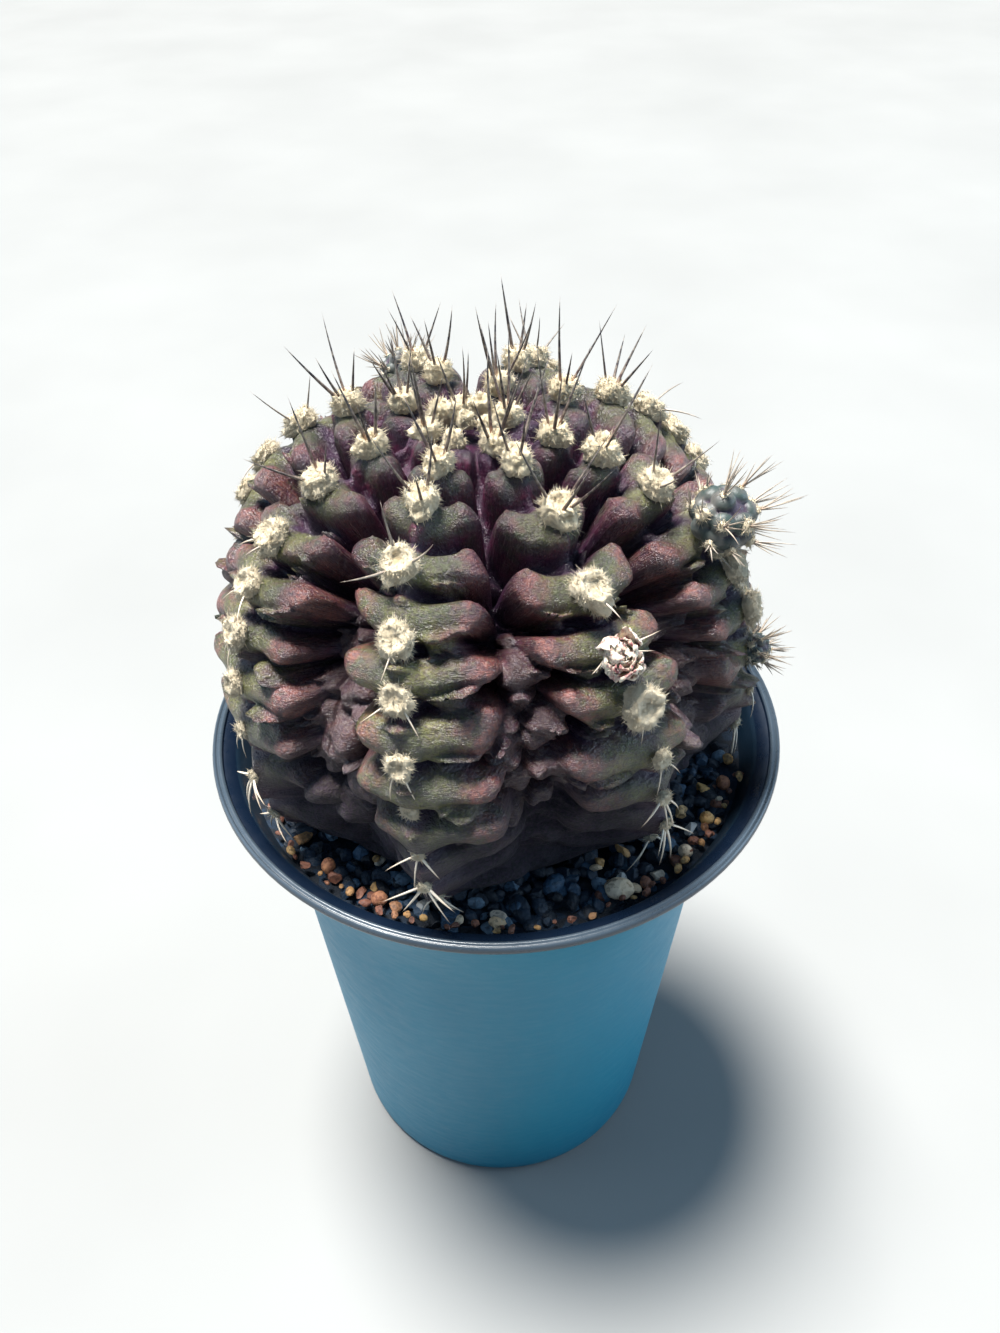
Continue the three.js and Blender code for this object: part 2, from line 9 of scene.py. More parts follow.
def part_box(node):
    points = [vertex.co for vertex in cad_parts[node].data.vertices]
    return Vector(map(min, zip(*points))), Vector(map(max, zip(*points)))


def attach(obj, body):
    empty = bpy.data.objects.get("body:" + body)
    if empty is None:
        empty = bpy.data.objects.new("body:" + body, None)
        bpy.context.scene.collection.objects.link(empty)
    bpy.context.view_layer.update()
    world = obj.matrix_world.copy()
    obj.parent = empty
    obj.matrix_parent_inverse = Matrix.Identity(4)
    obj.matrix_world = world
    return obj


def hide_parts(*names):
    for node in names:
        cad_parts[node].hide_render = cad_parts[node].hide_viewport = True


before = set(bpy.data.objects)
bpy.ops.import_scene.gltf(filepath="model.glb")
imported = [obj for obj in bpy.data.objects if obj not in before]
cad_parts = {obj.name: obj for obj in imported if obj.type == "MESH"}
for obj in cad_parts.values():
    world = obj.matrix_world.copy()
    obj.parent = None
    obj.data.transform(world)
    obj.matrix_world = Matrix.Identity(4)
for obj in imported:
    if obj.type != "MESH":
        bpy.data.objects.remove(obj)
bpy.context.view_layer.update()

bl_info = {
    "name": "Potted banded cactus",
    "version": (1, 0, 0),
    "blender": (4, 5, 0),
    "location": "View3D > Sidebar > Cactus",
    "description": "Dresses the packed cactus, its pot and its grit with modelled pieces",
    "category": "Object",
}

MM = 0.001

# Places read from the frame, in metres.
RIM_RADIUS, _, RIM_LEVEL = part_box("pot")[1]
SOIL_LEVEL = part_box("soil")[1].z

# The pot in millimetres: the wall's radius at the base and how it grows with the height, the
# flare under the rim, the depth at which the inner face begins, and the holes in the floor.
POT_BASE = 29.8
WALL_RISE = 0.0724
FLARE_START = 73.0
FLARE_SPAN = RIM_LEVEL / MM - FLARE_START
FLARE_REACH = 6.4
INNER_DEPTH = 0.6
POT_FLOOR = 1.3
DRAIN_HOLES = 6
DRAIN_CIRCLE = 20.0

# The plant's form in millimetres, as in the part's source: the outline's widest place, its dome
# above and its foot below, the furrows between the ribs, and the twist of the crests.
PLANT_X = -1.9
PLANT_RADIUS = 41.8
WIDEST_LEVEL = RIM_LEVEL / MM + 8
CROWN_HEIGHT = 45.6
SHOULDER = 2.75
FOOT_RADIUS = 26.0
FOOT_DROP = 15.5
FOOT_SLOPE = 1.35
CROWN_DIP = 4.5
FURROW_DEPTH = 10.4
TWIST_CENTRE = 47.0
TWIST_SPAN = 50.0

# One row for each rib, counted round from the front towards +X: azimuth and twist of the crest
# in degrees, how far it lies inside the outline, and its areoles' distances from the crown.
RIBS = [
    (-14.3, 8, 0.0, [13, 19.5, 28, 36.5, 43.5, 52, 59.5, 67, 72.5, 79]),
    (33, 12, 2.5, [6, 12, 21, 32, 40.5, 48, 58.5, 66, 73, 80]),
    (71, 12, 1.4, [11, 17.5, 25.5, 34.5, 42, 49.5, 58, 67, 76]),
    (117, -4, 1.4, [5, 13.5, 21.5, 29, 36, 43.5, 51, 59, 67, 76]),
    (161, 0, 0.5, [9, 17.5, 26, 34, 42, 50, 58, 66, 75]),
    (205, 0, 0.5, [5, 12.5, 20.5, 29, 37, 45, 53, 61, 69, 77]),
    (250, 4, 2.0, [10.5, 19, 28, 37.5, 45.5, 53.5, 62, 70, 78]),
    (303, 11, 2.0, [7, 14.5, 22.5, 32, 39, 46, 53.5, 61, 69, 77]),
]

# What sits on a crest in place of an areole: its node, rib, areole number, radius in
# millimetres and how far it stands off the skin as a part of the radius.
PUPS = [
    ("offset_right", 2, 3, 4.5, 0.7),
    ("offset_lower_right", 2, 6, 2.3, 0.15),
    ("offset_back_left", 5, 3, 2.9, 0.1),
]
REMNANT = ("flower_remnant", 1, 4, 2.8)

# Thin spines beside the dried flower: heading in radians round from straight down, and length.
FLOWER_SPINES = [(1.62, 6.6), (1.25, 5.2), (-1.2, 3.4)]


def chance(*seeds):
    """A repeatable number from 0 to 1 for a few whole numbers."""
    x = math.sin(sum(s * w for s, w in zip(seeds, (127.1, 311.7, 74.7, 191.3)))) * 43758.5453
    return x - math.floor(x)


def between(low, high, *seeds):
    """A repeatable number from low to high."""
    return low + (high - low) * chance(*seeds)


def smooth(x, low, high):
    """A soft step from 0 at low to 1 at high, for numbers and arrays."""
    t = np.clip((np.asarray(x, float) - low) / (high - low), 0, 1)
    return t * t * (3 - 2 * t)


def mix(a, b, t):
    return a + (b - a) * t


# The plant's outline, followed along a crest from the crown to the foot.


def outline_table():
    """Arrays of distance, radius and height down the outline of the crests."""
    upper = np.pi / 2 * (1 - np.arange(241) / 240)
    lower = np.pi / 2 * np.arange(1, 61) / 60
    r = PLANT_RADIUS * np.maximum(0, np.cos(upper)) ** (2 / SHOULDER)
    z = WIDEST_LEVEL + CROWN_HEIGHT * np.sin(upper) ** (2 / SHOULDER)
    r[0] = 0
    reach = PLANT_RADIUS - FOOT_RADIUS
    foot_r = FOOT_RADIUS + reach * np.maximum(0, np.cos(lower)) ** (2 / FOOT_SLOPE)
    foot_z = WIDEST_LEVEL - FOOT_DROP * np.sin(lower) ** (2 / FOOT_SLOPE)
    r, z = np.concatenate([r, foot_r]), np.concatenate([z, foot_z])
    s = np.concatenate([[0], np.cumsum(np.hypot(np.diff(r), np.diff(z)))])
    return s, r, z


OUTLINE = outline_table()
CREST_LENGTH = OUTLINE[0][-1]


def outline_at(along):
    """Radius, height and outward direction (radial, upward) at distances down a crest."""
    s, r, z = OUTLINE
    here_r, here_z = np.interp(along, s, r), np.interp(along, s, z)
    step = 0.8
    a, b = np.maximum(0, along - step), np.minimum(CREST_LENGTH, along + step)
    dr = np.interp(b, s, r) - np.interp(a, s, r)
    dz = np.interp(b, s, z) - np.interp(a, s, z)
    span = np.hypot(dr, dz)
    return here_r, here_z, -dz / span, dr / span


def crest_azimuth(j, along):
    """Azimuth in degrees of rib j's crest, for any whole j, at distances from the crown."""
    laps, rib = divmod(j, len(RIBS))
    azimuth, twist = RIBS[rib][:2]
    return azimuth + 360 * laps + twist * (along - TWIST_CENTRE) / TWIST_SPAN


def rib_azimuth(j, across, along):
    """Azimuth of a place on rib j; across runs from -1 to 1 between its furrows."""
    here = crest_azimuth(j, along)
    beyond = np.where(across < 0, crest_azimuth(j - 1, along), crest_azimuth(j + 1, along))
    return here + (beyond - here) / 2 * np.abs(across)


def roll_at(j, along):
    """Number of rolls, with a fraction, from rib j's first areole to places on its crest."""
    areoles = np.array(RIBS[j][3], float)
    first, last = areoles[1] - areoles[0], areoles[-1] - areoles[-2]
    lead = (areoles[0] - 40 * first, -40.0)
    tail = (areoles[-1] + 40 * last, len(areoles) + 39.0)
    places = np.concatenate([[lead[0]], areoles, [tail[0]]])
    numbers = np.concatenate([[lead[1]], np.arange(len(areoles)), [tail[1]]])
    return np.interp(along, places, numbers)


# How far each rib's rolls rise towards the furrows, left and right, as a part of a roll.
ROLL_RISES = [
    (0.1, 0.18),
    (0.46, 0.3),
    (0.2, 0.2),
    (0.2, 0.3),
    (0.3, 0.2),
    (0.2, 0.3),
    (0.2, 0.4),
    (0.0, 0.5),
]

# How far a rib's older rolls lie above their areoles, as a part of a roll.
ROLL_SHIFTS = (0.33, 0.0, 0.0, 0.2, 0.0, 0.3, 0.1, 0.0)

# How much shorter some ribs' older rolls are, left and right, as a part of half a rib.
REACH_CUTS = {0: (0.28, 0.0), 1: (0.0, 0.2), 7: (0.1, 0.0)}

# The rolls: where each has its top, as a part of a roll, and their height; the height of the
# folds and lines between them, of the belly's bulges and of the chins under the areoles.
ROLL_PEAK = 0.08
ROLL_DEPTH = 4.6
LENS_HEIGHT = 3.6
LINE_HEIGHT = 2.3
BULGE_HEIGHT = 1.7
CHIN_HEIGHT = 1.6

# Distances down a crest in millimetres over which features of the skin come in.
FURROWS_OPEN = (0, 33)
ROLLS_START = (2, 14)
PLEATS_START = (22, 34)
ROLLS_AGE = (26, 56)
BELLY = (60, 73)

# Sideways steps of some areoles off their crest, in millimetres, by rib and number.
SIDE_STEPS = {
    (1, 2): 0.8, (1, 3): -0.9, (1, 4): -1.7, (1, 5): -1.5, (1, 7): -0.6, (0, 2): -0.5
}

# How far some areoles stand out from the skin in millimetres, by rib and number.
STAND_OUTS = {(1, 5): 1.1, (1, 6): 0.5, (1, 7): 0.5}
PAD_SINK = 0.2

# How much larger than usual some areoles' wool is, by rib and number.
PAD_SIZES = {
    (1, 3): 1.24, (1, 5): 1.2, (0, 2): 1.08, (0, 3): 1.08, (1, 7): 1.3, (1, 8): 1.2
}

# Small young areoles crowded round the growing point: azimuth, distance and size.
YOUNG_AREOLES = [
    (-116, 5.5, 0.75),
    (-110, 1.6, 0.5),
    (56, 1.6, 0.5),
    (172, 4.2, 0.65),
    (-32, 5.5, 0.6),
]

# Lumps in the front furrow: azimuth, distance down the crest, radius and height.
FRONT_LUMPS = [
    (9.0, 36.6, 1.8, 6.0),
    (9.5, 41.2, 4.0, 9.6),
    (9.8, 45.0, 3.2, 9.2),
    (5.0, 49.4, 3.4, 8.4),
    (15.0, 49.4, 3.4, 8.8),
    (12.0, 52.2, 2.6, 8.0),
    (5.0, 53.5, 3.6, 9.2),
    (14.5, 56.8, 3.3, 8.2),
    (8.0, 58.6, 3.0, 7.0),
    (18.5, 61.0, 3.0, 6.2),
    (12.6, 63.0, 2.1, 6.9),
    (5.5, 63.5, 3.0, 5.0),
]

# The lumps of the other furrows: how many, where the first lies, how far apart they are, and
# the furrow's usual distance from the axis, in millimetres.
LUMPS_PER_FURROW = 17
FIRST_LUMP = 33
LUMP_STEP = 3.1
FURROW_RADIUS = 30


def furrow_lumps():
    """Azimuth, distance, radius and height of the rounded lumps that crowd each furrow."""
    lumps = list(FRONT_LUMPS)
    for j in range(1, len(RIBS)):
        for i in range(LUMPS_PER_FURROW):
            level = FIRST_LUMP + LUMP_STEP * i + between(-1.3, 1.3, j, i, 12)
            grown = float(smooth(level, FIRST_LUMP, 56))
            swing = (-1) ** i * between(0.3, 5.2, j, i, 11) * grown
            azimuth = float(rib_azimuth(j, 1.0, level)) + math.degrees(swing / FURROW_RADIUS)
            size = between(2.6, 4.6, j, i, 13) * mix(0.7, 1, grown)
            height = mix(2.6, 7.0, grown) * between(0.72, 1.1, j, i, 14)
            lumps.append((azimuth, level, size, height))
    return lumps


LUMPS = furrow_lumps()


def lump_height(azimuth, along):
    """Height in millimetres of the highest furrow lump over each place."""
    height = np.zeros_like(along)
    bend = 0.9 * ripple(azimuth % 360 / 6, along / 2.8, 18, 60)
    sag = 0.8 * ripple(azimuth % 360 / 7.5, along / 2.2, 19, 48)
    for centre, level, size, top in LUMPS:
        aside = np.radians((azimuth - centre + 540) % 360 - 180) * FURROW_RADIUS + bend
        near = np.hypot(aside * 1.1, along + sag - level) / size
        height = np.maximum(height, top * np.maximum(0, 1 - near**3.2) ** 0.5)
    return height


def pleats(j, side, off, lap, turn, along, reach):
    """Height of the lens-shaped folds between two rolls and of the thin lines beside them."""
    gap = np.floor(turn)
    middle = 2 * (turn - gap) - 1 + 0.16 * ripple(lap * 5, along / 3, 9, 80)
    centre = 0.36 + 0.22 * hashed(j, gap + 20, side, 15)
    half_length = 0.15 + 0.16 * hashed(j, gap + 20, side, 16)
    lens = np.maximum(0, 1 - (middle / 0.27) ** 2 - ((off - centre) / half_length) ** 2) ** 0.5
    lens = lens * smooth(hashed(j, gap + 20, side, 17), 0.12, 0.3)
    lines = np.exp(-(((np.abs(middle) - 0.2) / 0.09) ** 2)) * smooth(off, 0.14, 0.34)
    lines = lines * (1 - smooth(off, reach - 0.12, reach + 0.02)) * (1 - lens)
    return (LENS_HEIGHT * lens + LINE_HEIGHT * lines) * smooth(along, *PLEATS_START)


def chins(j, off, along):
    """The bump under each areole of rib j and the crease below it, each from 0 to 1."""
    places = np.array(RIBS[j][3], float)
    nearest = places[np.abs(np.subtract.outer(along, places)).argmin(-1)]
    half = np.pi / len(RIBS) * outline_at(along)[0]
    below = np.where(along > nearest, along - nearest - 3.5, 9.0)
    grown = smooth(along, 12, 24)
    chin = np.exp(-((off * half / 1.2) ** 2) - (below / 1.05) ** 2) * grown
    crease = np.exp(-((off * half / 1.6) ** 2) - ((below - 1.9) / 0.6) ** 2) * grown
    return chin, crease


def skin(j, across, along):
    """Depth of rib j's skin inside its crest outline in millimetres, with its colour masks."""
    off = np.abs(across)
    side = np.where(across < 0, 3, 4)
    lap = 2 * j + across
    opening = smooth(along, *FURROWS_OPEN)
    young = smooth(along, *ROLLS_START)
    old = smooth(along, *ROLLS_AGE)
    low = smooth(along, *BELLY)
    end_fade = 1 - smooth(along, CREST_LENGTH - 15, CREST_LENGTH - 6)
    foot = mix(1, 0.5, smooth(along, CREST_LENGTH - 26, CREST_LENGTH - 6))
    furrow = FURROW_DEPTH * opening * foot * mix(1, 0.8, smooth(along, 36, 62))

    # Which roll a place is on, and where on it: w runs from -1 to 1 down one roll.
    sway = 0.16 * ripple(lap * 1.5, along / 9, 1, 24) * smooth(off, 0.08, 0.5)
    sway = sway + 0.07 * ripple(lap * 4, along / 4, 6, 64) * smooth(off, 0.2, 0.6)
    rise = np.where(across < 0, *ROLL_RISES[j]) + 0.14 * smooth(along, 38, 52)
    shift = ROLL_SHIFTS[j] * smooth(along, 25, 34)
    turn = roll_at(j, along) + shift + rise * off**1.2 * opening + sway
    roll = np.round(turn)
    w = 2 * (turn - roll)
    seed = roll + 20

    # The roll's rounded form, its reach towards the furrow and the flank that it stands on.
    fat = 0.8 + 0.12 * (hashed(j, seed, side, 9) - 0.5) * smooth(off, 0, 0.3)
    slope = np.where(w < ROLL_PEAK, (ROLL_PEAK - w) / fat, (w - ROLL_PEAK) / (fat * 0.94))
    cut = np.where(across < 0, *REACH_CUTS.get(j, (0, 0)))
    cut = cut * smooth(along, 27, 38) * smooth(off, 0, 0.2)
    reach = mix(0.94, 0.8, old) + 0.14 * (hashed(j, seed, side, 5) - 0.5) - cut
    tip = mix(0.36, 0.22, smooth(along, 16, 40))
    beyond = np.maximum(0, off - (reach - tip)) / tip
    dome = np.maximum(0, 1 - slope**2.3 - beyond**2.6) ** 0.5
    plump = mix(0.94, 0.74 + 0.26 * hashed(j, seed, side, 3), smooth(off, 0, 0.3))
    edge_here = reach - mix(0.4, 0.24, old) * np.minimum(1, slope**2) * young
    flank = mix(0.3 * off**2, 1, smooth(off, edge_here - 0.1, edge_here + 0.13))
    flank = mix(flank, np.sin(np.pi / 2 * off), low)
    base = furrow * mix(flank, 1, smooth(off, 0.93, 1)) + RIBS[j][2] * opening * (1 - off)
    height = ROLL_DEPTH * mix(0.5, 1, smooth(off, 0.02, 0.2)) * young * end_fade
    height = height * mix(1, 0.34, low)
    knob = np.exp(-(((off - reach + tip) / 0.15) ** 2)) * dome
    swell = knob * 0.55 * hashed(j, seed, side, 7) * young * end_fade * (1 - low)

    # The lumps that crowd the furrow.
    azimuth = rib_azimuth(j, across, along)
    lumps = np.minimum(lump_height(azimuth, along), np.maximum(0, furrow - 0.5))
    lumps = lumps * smooth(off, 0.42 - cut, 0.68 - cut) * (1 - smooth(along, 64, 76))
    bare = 1 - smooth(lumps, 0, 1.5)
    roll_top = height * plump * dome
    lump_top = lumps - (furrow - base)
    lumpy = smooth(lump_top - roll_top, 0, 1.2) * smooth(lumps, 0.4, 2)

    # The leathery relief: folds in the grooves, creases, dents and fine grain.
    groove = (1 - dome) ** 1.2 * bare
    tame = 0.3 + 0.7 * groove
    folds = 1 - 2.6 * np.abs(ripple(lap * 2.5, turn * 4.5, 2, 40)) ** 0.7
    creases = 1 - 2 * np.abs(ripple(lap * 7, along / 2.3, 3, 112))
    relief = 1.25 * (1 - dome) ** 0.7 * bare * young * folds
    relief = relief + 0.3 * creases * smooth(off, 0.15, 0.5) * tame
    relief = relief + 0.4 * ripple(lap * 5, along / 3.4, 4, 80) * off * tame
    relief = relief + 0.2 * ripple(lap * 16, along / 1.1, 5, 256) * (0.2 + groove)
    relief = relief * (1 - 0.55 * low) + pleats(j, side, off, lap, turn, along, reach) * (1 - low)
    bulges = ripple(lap * 2, along / 5.5, 20, 32) + 0.5 * ripple(lap * 4, along / 2.6, 22, 64)
    relief = relief + BULGE_HEIGHT * smooth(along, 58, 66) * smooth(off, 0.08, 0.5) * bulges
    relief = relief + lumpy * (0.55 * ripple(lap * 9, along / 1.9, 21, 144) + 0.35 * creases)

    floor_level = base + height
    depth = floor_level - np.maximum(roll_top, lump_top) - swell - relief * opening * end_fade
    chin, crease = chins(j, off, along)
    depth = depth - (CHIN_HEIGHT * chin - 0.7 * crease) * end_fade
    depth = depth + CROWN_DIP * np.exp(-((along / 7) ** 2))
    hollow = np.clip((floor_level - depth) / 3.5, 0, 1)
    return depth, dome, knob, hollow, lumpy, chin, azimuth


def hashed(j, roll, side, salt):
    """A repeatable number from 0 to 1 for each roll of a rib's side."""
    x = np.sin(j * 127.1 + roll * 311.7 + side * 74.7 + salt * 191.3) * 43758.5453
    return x - np.floor(x)


def ripple(x, y, salt, lap):
    """Smooth noise from -1 to 1 over two coordinates; x comes round again after a lap."""
    column, row = np.floor(x), np.floor(y)
    fx, fy = smooth(x - column, 0, 1), smooth(y - row, 0, 1)
    corner = [hashed((column + a) % lap, row + b, 0, salt) for b in (0, 1) for a in (0, 1)]
    return 2 * mix(mix(corner[0], corner[1], fx), mix(corner[2], corner[3], fx), fy) - 1


def skin_point(j, across, along, lift=0.0):
    """Points of rib j's skin in millimetres, raised by lift along the outline's normal."""
    across, along = np.atleast_1d(across).astype(float), np.atleast_1d(along).astype(float)
    across, along = np.broadcast_arrays(across, along)
    depth, *masks, azimuth = skin(j, across, along)
    r, z, out_r, out_z = outline_at(along)
    inward = depth - lift
    radius = np.maximum(0.4, r - inward * np.maximum(0.12, out_r))
    angle = np.radians(azimuth)
    x, y = PLANT_X + radius * np.sin(angle), -radius * np.cos(angle)
    return np.stack([x, y, z - inward * np.maximum(0, out_z)], -1), masks


def areole_frame(j, i):
    """The frame of rib j's areole i, stepped aside where it doesn't sit on the crest."""
    step = Vector((0, SIDE_STEPS.get((j, i), 0), STAND_OUTS.get((j, i), 0) - PAD_SINK))
    return crest_frame(j, RIBS[j][3][i]) @ Matrix.Translation(step * MM)


def crest_frame(j, along):
    """A matrix whose z axis points out of rib j's crest and whose x axis points down it."""
    here = Vector(skin_point(j, 0.0, along)[0][0]) * MM
    _, _, out_r, out_z = outline_at(np.array([float(along)]))
    above, below = outline_at(np.array([along - 1.0])), outline_at(np.array([along + 1.0]))
    angle = math.radians(float(crest_azimuth(j, along)))

    def upright(radial, rise):
        return Vector((radial * math.sin(angle), -radial * math.cos(angle), rise)).normalized()

    out = upright(out_r[0], out_z[0])
    down = upright(below[0][0] - above[0][0], below[1][0] - above[1][0])
    aside = out.cross(down).normalized()
    crest = Matrix((aside.cross(out), aside, out)).transposed().to_4x4()
    crest.translation = here
    return crest


# Objects and meshes.


def deselect():
    """Leaves edit mode and clears the selection."""
    if bpy.context.object and bpy.context.object.mode != "OBJECT":
        bpy.ops.object.mode_set(mode="OBJECT")
    bpy.ops.object.select_all(action="DESELECT")


def choose(obj):
    """Selects one object alone and makes it active."""
    deselect()
    obj.select_set(True)
    bpy.context.view_layer.objects.active = obj


def new_object(name, points, faces):
    """A mesh object from an array of points in metres and a list of faces."""
    mesh = bpy.data.meshes.new(name)
    mesh.from_pydata([tuple(p) for p in points], [], [tuple(f) for f in faces])
    mesh.validate()
    obj = bpy.data.objects.new(name, mesh)
    bpy.context.scene.collection.objects.link(obj)
    return obj


def apply_place(obj):
    """Moves an object's place, turn and scale into its mesh."""
    choose(obj)
    bpy.ops.object.transform_apply(location=True, rotation=True, scale=True)


def modifier(obj, kind, **settings):
    """Adds a modifier with its settings and applies it."""
    choose(obj)
    added = obj.modifiers.new(kind.lower(), kind)
    for key, value in settings.items():
        setattr(added, key, value)
    bpy.ops.object.modifier_apply(modifier=added.name)


def shade(obj, degrees=40):
    choose(obj)
    bpy.ops.object.shade_smooth_by_angle(angle=math.radians(degrees))


def settle(obj, material, slot, *nodes):
    """Gives a finished piece its material, makes it ride, and hides what it replaces; slot is not
    used.
    """
    obj.data.materials.clear()
    obj.data.materials.append(material)
    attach(obj, "root")
    if nodes:
        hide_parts(*nodes)


def vertices_of(mesh):
    """Array of a mesh's vertex places."""
    points = np.zeros(len(mesh.vertices) * 3)
    mesh.vertices.foreach_get("co", points)
    return points.reshape(-1, 3)


def write_uv(obj, name, values):
    """Gives a mesh a UV map from two numbers for each vertex."""
    corners = np.zeros(len(obj.data.loops), int)
    obj.data.loops.foreach_get("vertex_index", corners)
    obj.data.uv_layers.new(name=name).data.foreach_set("uv", values[corners].ravel())


def placed(points, matrix):
    """Points moved by a matrix."""
    m = np.array(matrix)
    return points @ m[:3, :3].T + m[:3, 3]


def unit(vectors):
    return vectors / np.linalg.norm(vectors, axis=-1, keepdims=True)


def ball(subdivisions, location=(0, 0, 0), scale=(1, 1, 1)):
    """A new ball of unit radius, or one stretched by scale."""
    deselect()
    bpy.ops.mesh.primitive_ico_sphere_add(
        subdivisions=subdivisions, radius=1.0, location=location, scale=scale
    )
    return bpy.context.object


def cut_off(place, normal):
    """Cuts what lies beyond a plane from the mesh in edit mode and closes the cut."""
    bpy.ops.mesh.select_all(action="SELECT")
    bpy.ops.mesh.bisect(plane_co=place, plane_no=normal, use_fill=True, clear_outer=True)


def clouds(name, size, depth=2):
    """A soft random texture for uneven surfaces."""
    texture = bpy.data.textures.new(name, "CLOUDS")
    texture.noise_scale = size
    texture.noise_depth = depth
    return texture


def roughen(obj, texture, strength, mid_level=0.5):
    """Moves a surface in and out by a texture."""
    settings = {"texture": texture, "strength": strength, "mid_level": mid_level}
    modifier(obj, "DISPLACE", texture_coords="LOCAL", **settings)


def smoothed(obj):
    choose(obj)
    bpy.ops.object.shade_smooth()
    return obj


def shape_of(obj):
    """Vertex array and triangle array of a modelled prototype, which is then removed."""
    mesh = obj.data
    mesh.calc_loop_triangles()
    points = vertices_of(mesh)
    corners = np.zeros(len(mesh.loop_triangles) * 3, int)
    mesh.loop_triangles.foreach_get("vertices", corners)
    bpy.data.objects.remove(obj)
    return points, corners.reshape(-1, 3)


def stamped(name, stamps):
    """One object of many copies; a stamp is a shape, a matrix and its two UV numbers."""
    points, faces, marks = [], [], []
    total = 0
    for (shape_points, shape_faces, heights), matrix, tone in stamps:
        points.append(placed(shape_points, matrix))
        faces.append(shape_faces + total)
        marks.append(np.stack([np.full(len(shape_points), tone), heights], 1))
        total += len(shape_points)
    points, faces, marks = np.concatenate(points), np.concatenate(faces), np.concatenate(marks)
    obj = new_object(name, points, faces)
    write_uv(obj, "tone_and_height", marks)
    return obj


# Material building.


class Nodes:
    """Short calls for adding and joining nodes in one material or node group."""

    def __init__(self, tree):
        self.tree = tree

    def add(self, kind, *inputs, **settings):
        node = self.tree.nodes.new(kind)
        for key, value in settings.items():
            setattr(node, key, value)
        for i, value in enumerate(inputs):
            self.feed(node.inputs[i], value)
        return node

    def feed(self, socket, value):
        """Links a socket, or sets it; a plain colour has three numbers."""
        if isinstance(value, bpy.types.NodeSocket):
            self.tree.links.new(value, socket)
        elif socket.type == "RGBA":
            socket.default_value = (*value, 1)
        else:
            socket.default_value = value

    def fed(self, kind, output, inputs, **settings):
        """One output of a new node whose inputs are given by name."""
        node = self.add(kind, **settings)
        for name, value in inputs.items():
            self.feed(node.inputs[name], value)
        return node.outputs[output]

    def math(self, operation, a, b, clamp=False):
        return self.add("ShaderNodeMath", a, b, operation=operation, use_clamp=clamp).outputs[0]

    def times(self, a, b):
        return self.math("MULTIPLY", a, b)

    def plus(self, a, b):
        return self.math("ADD", a, b)

    def minus(self, a, b):
        return self.math("SUBTRACT", a, b)

    def around(self, value, spread):
        """A noise value moved to lie about zero and scaled by spread."""
        return self.times(self.minus(value, 0.5), spread)

    def ramp(self, value, *stops):
        """Maps a value through colours or greys placed at positions."""
        node = self.add("ShaderNodeValToRGB", value)
        elements = node.color_ramp.elements
        while len(elements) < len(stops):
            elements.new(0.5)
        for element, (at, shade_here) in zip(elements, stops):
            grey = isinstance(shade_here, (int, float))
            element.position = at
            element.color = (*([shade_here] * 3 if grey else shade_here), 1)
        return node.outputs[0]

    def blend(self, factor, a, b):
        node = self.add("ShaderNodeMix", factor, data_type="RGBA")
        self.feed(node.inputs[6], a)
        self.feed(node.inputs[7], b)
        return node.outputs[2]

    def noise(self, vector, scale, detail=4.0, roughness=0.55, distortion=0.0):
        settings = {"Vector": vector, "Scale": scale, "Detail": detail}
        settings |= {"Roughness": roughness, "Distortion": distortion}
        return self.fed("ShaderNodeTexNoise", "Fac", settings)

    def mapped(self, vector, scale):
        return self.fed("ShaderNodeMapping", 0, {"Vector": vector, "Scale": scale})

    def bump(self, height, strength, distance, normal=None):
        inputs = {"Height": height, "Strength": strength, "Distance": distance}
        if normal is not None:
            inputs["Normal"] = normal
        return self.fed("ShaderNodeBump", 0, inputs)

    def group(self, tree, **values):
        """The outputs of a shared node group placed with its own values."""
        node = self.add("ShaderNodeGroup", node_tree=tree)
        for name, value in values.items():
            self.feed(node.inputs[name.replace("_", " ")], value)
        return node.outputs

    def object_place(self):
        return self.add("ShaderNodeTexCoord").outputs["Object"]

    def tone_and_height(self):
        """The two numbers that the UV map carries to each vertex."""
        marks = self.add("ShaderNodeUVMap", uv_map="tone_and_height").outputs[0]
        return self.add("ShaderNodeSeparateXYZ", marks).outputs[:2]

    def attribute_parts(self, name):
        """The red, green, blue and alpha of a colour attribute."""
        marks = self.add("ShaderNodeAttribute", attribute_name=name).outputs
        return (*self.add("ShaderNodeSeparateColor", marks["Color"]).outputs, marks["Alpha"])

    def finish(self, colour, roughness=None, normal=None):
        """Feeds the shader and gives back the finished material."""
        inputs = {"Base Color": colour, "Roughness": roughness, "Normal": normal}
        for name, value in inputs.items():
            if value is not None:
                self.feed(self.shader.inputs[name], value)
        return self.material


def rgb(r, g, b):
    """A linear colour from sRGB numbers of 0 to 255."""
    return tuple(
        ((c / 255 + 0.055) / 1.055) ** 2.4 if c > 10 else c / 255 / 12.92 for c in (r, g, b)
    )


def start_material(name, **values):
    """The nodes of a new material, its Principled shader's uniform values set on the sockets."""
    material = bpy.data.materials.new(name)
    material.use_nodes = True
    nodes = Nodes(material.node_tree)
    nodes.material, nodes.shader = material, material.node_tree.nodes["Principled BSDF"]
    for key, value in values.items():
        nodes.shader.inputs[key.replace("_", " ")].default_value = value
    return nodes


def start_group(name, inputs, outputs):
    """The nodes of a new node group, with what it is given and where its outputs end."""
    tree = bpy.data.node_groups.new(name, "ShaderNodeTree")
    for socket, kind in inputs.items():
        tree.interface.new_socket(socket, in_out="INPUT", socket_type="NodeSocket" + kind)
    for socket in outputs:
        tree.interface.new_socket(socket, in_out="OUTPUT", socket_type="NodeSocketFloat")
    nodes = Nodes(tree)
    return nodes, nodes.add("NodeGroupInput").outputs, nodes.add("NodeGroupOutput").inputs


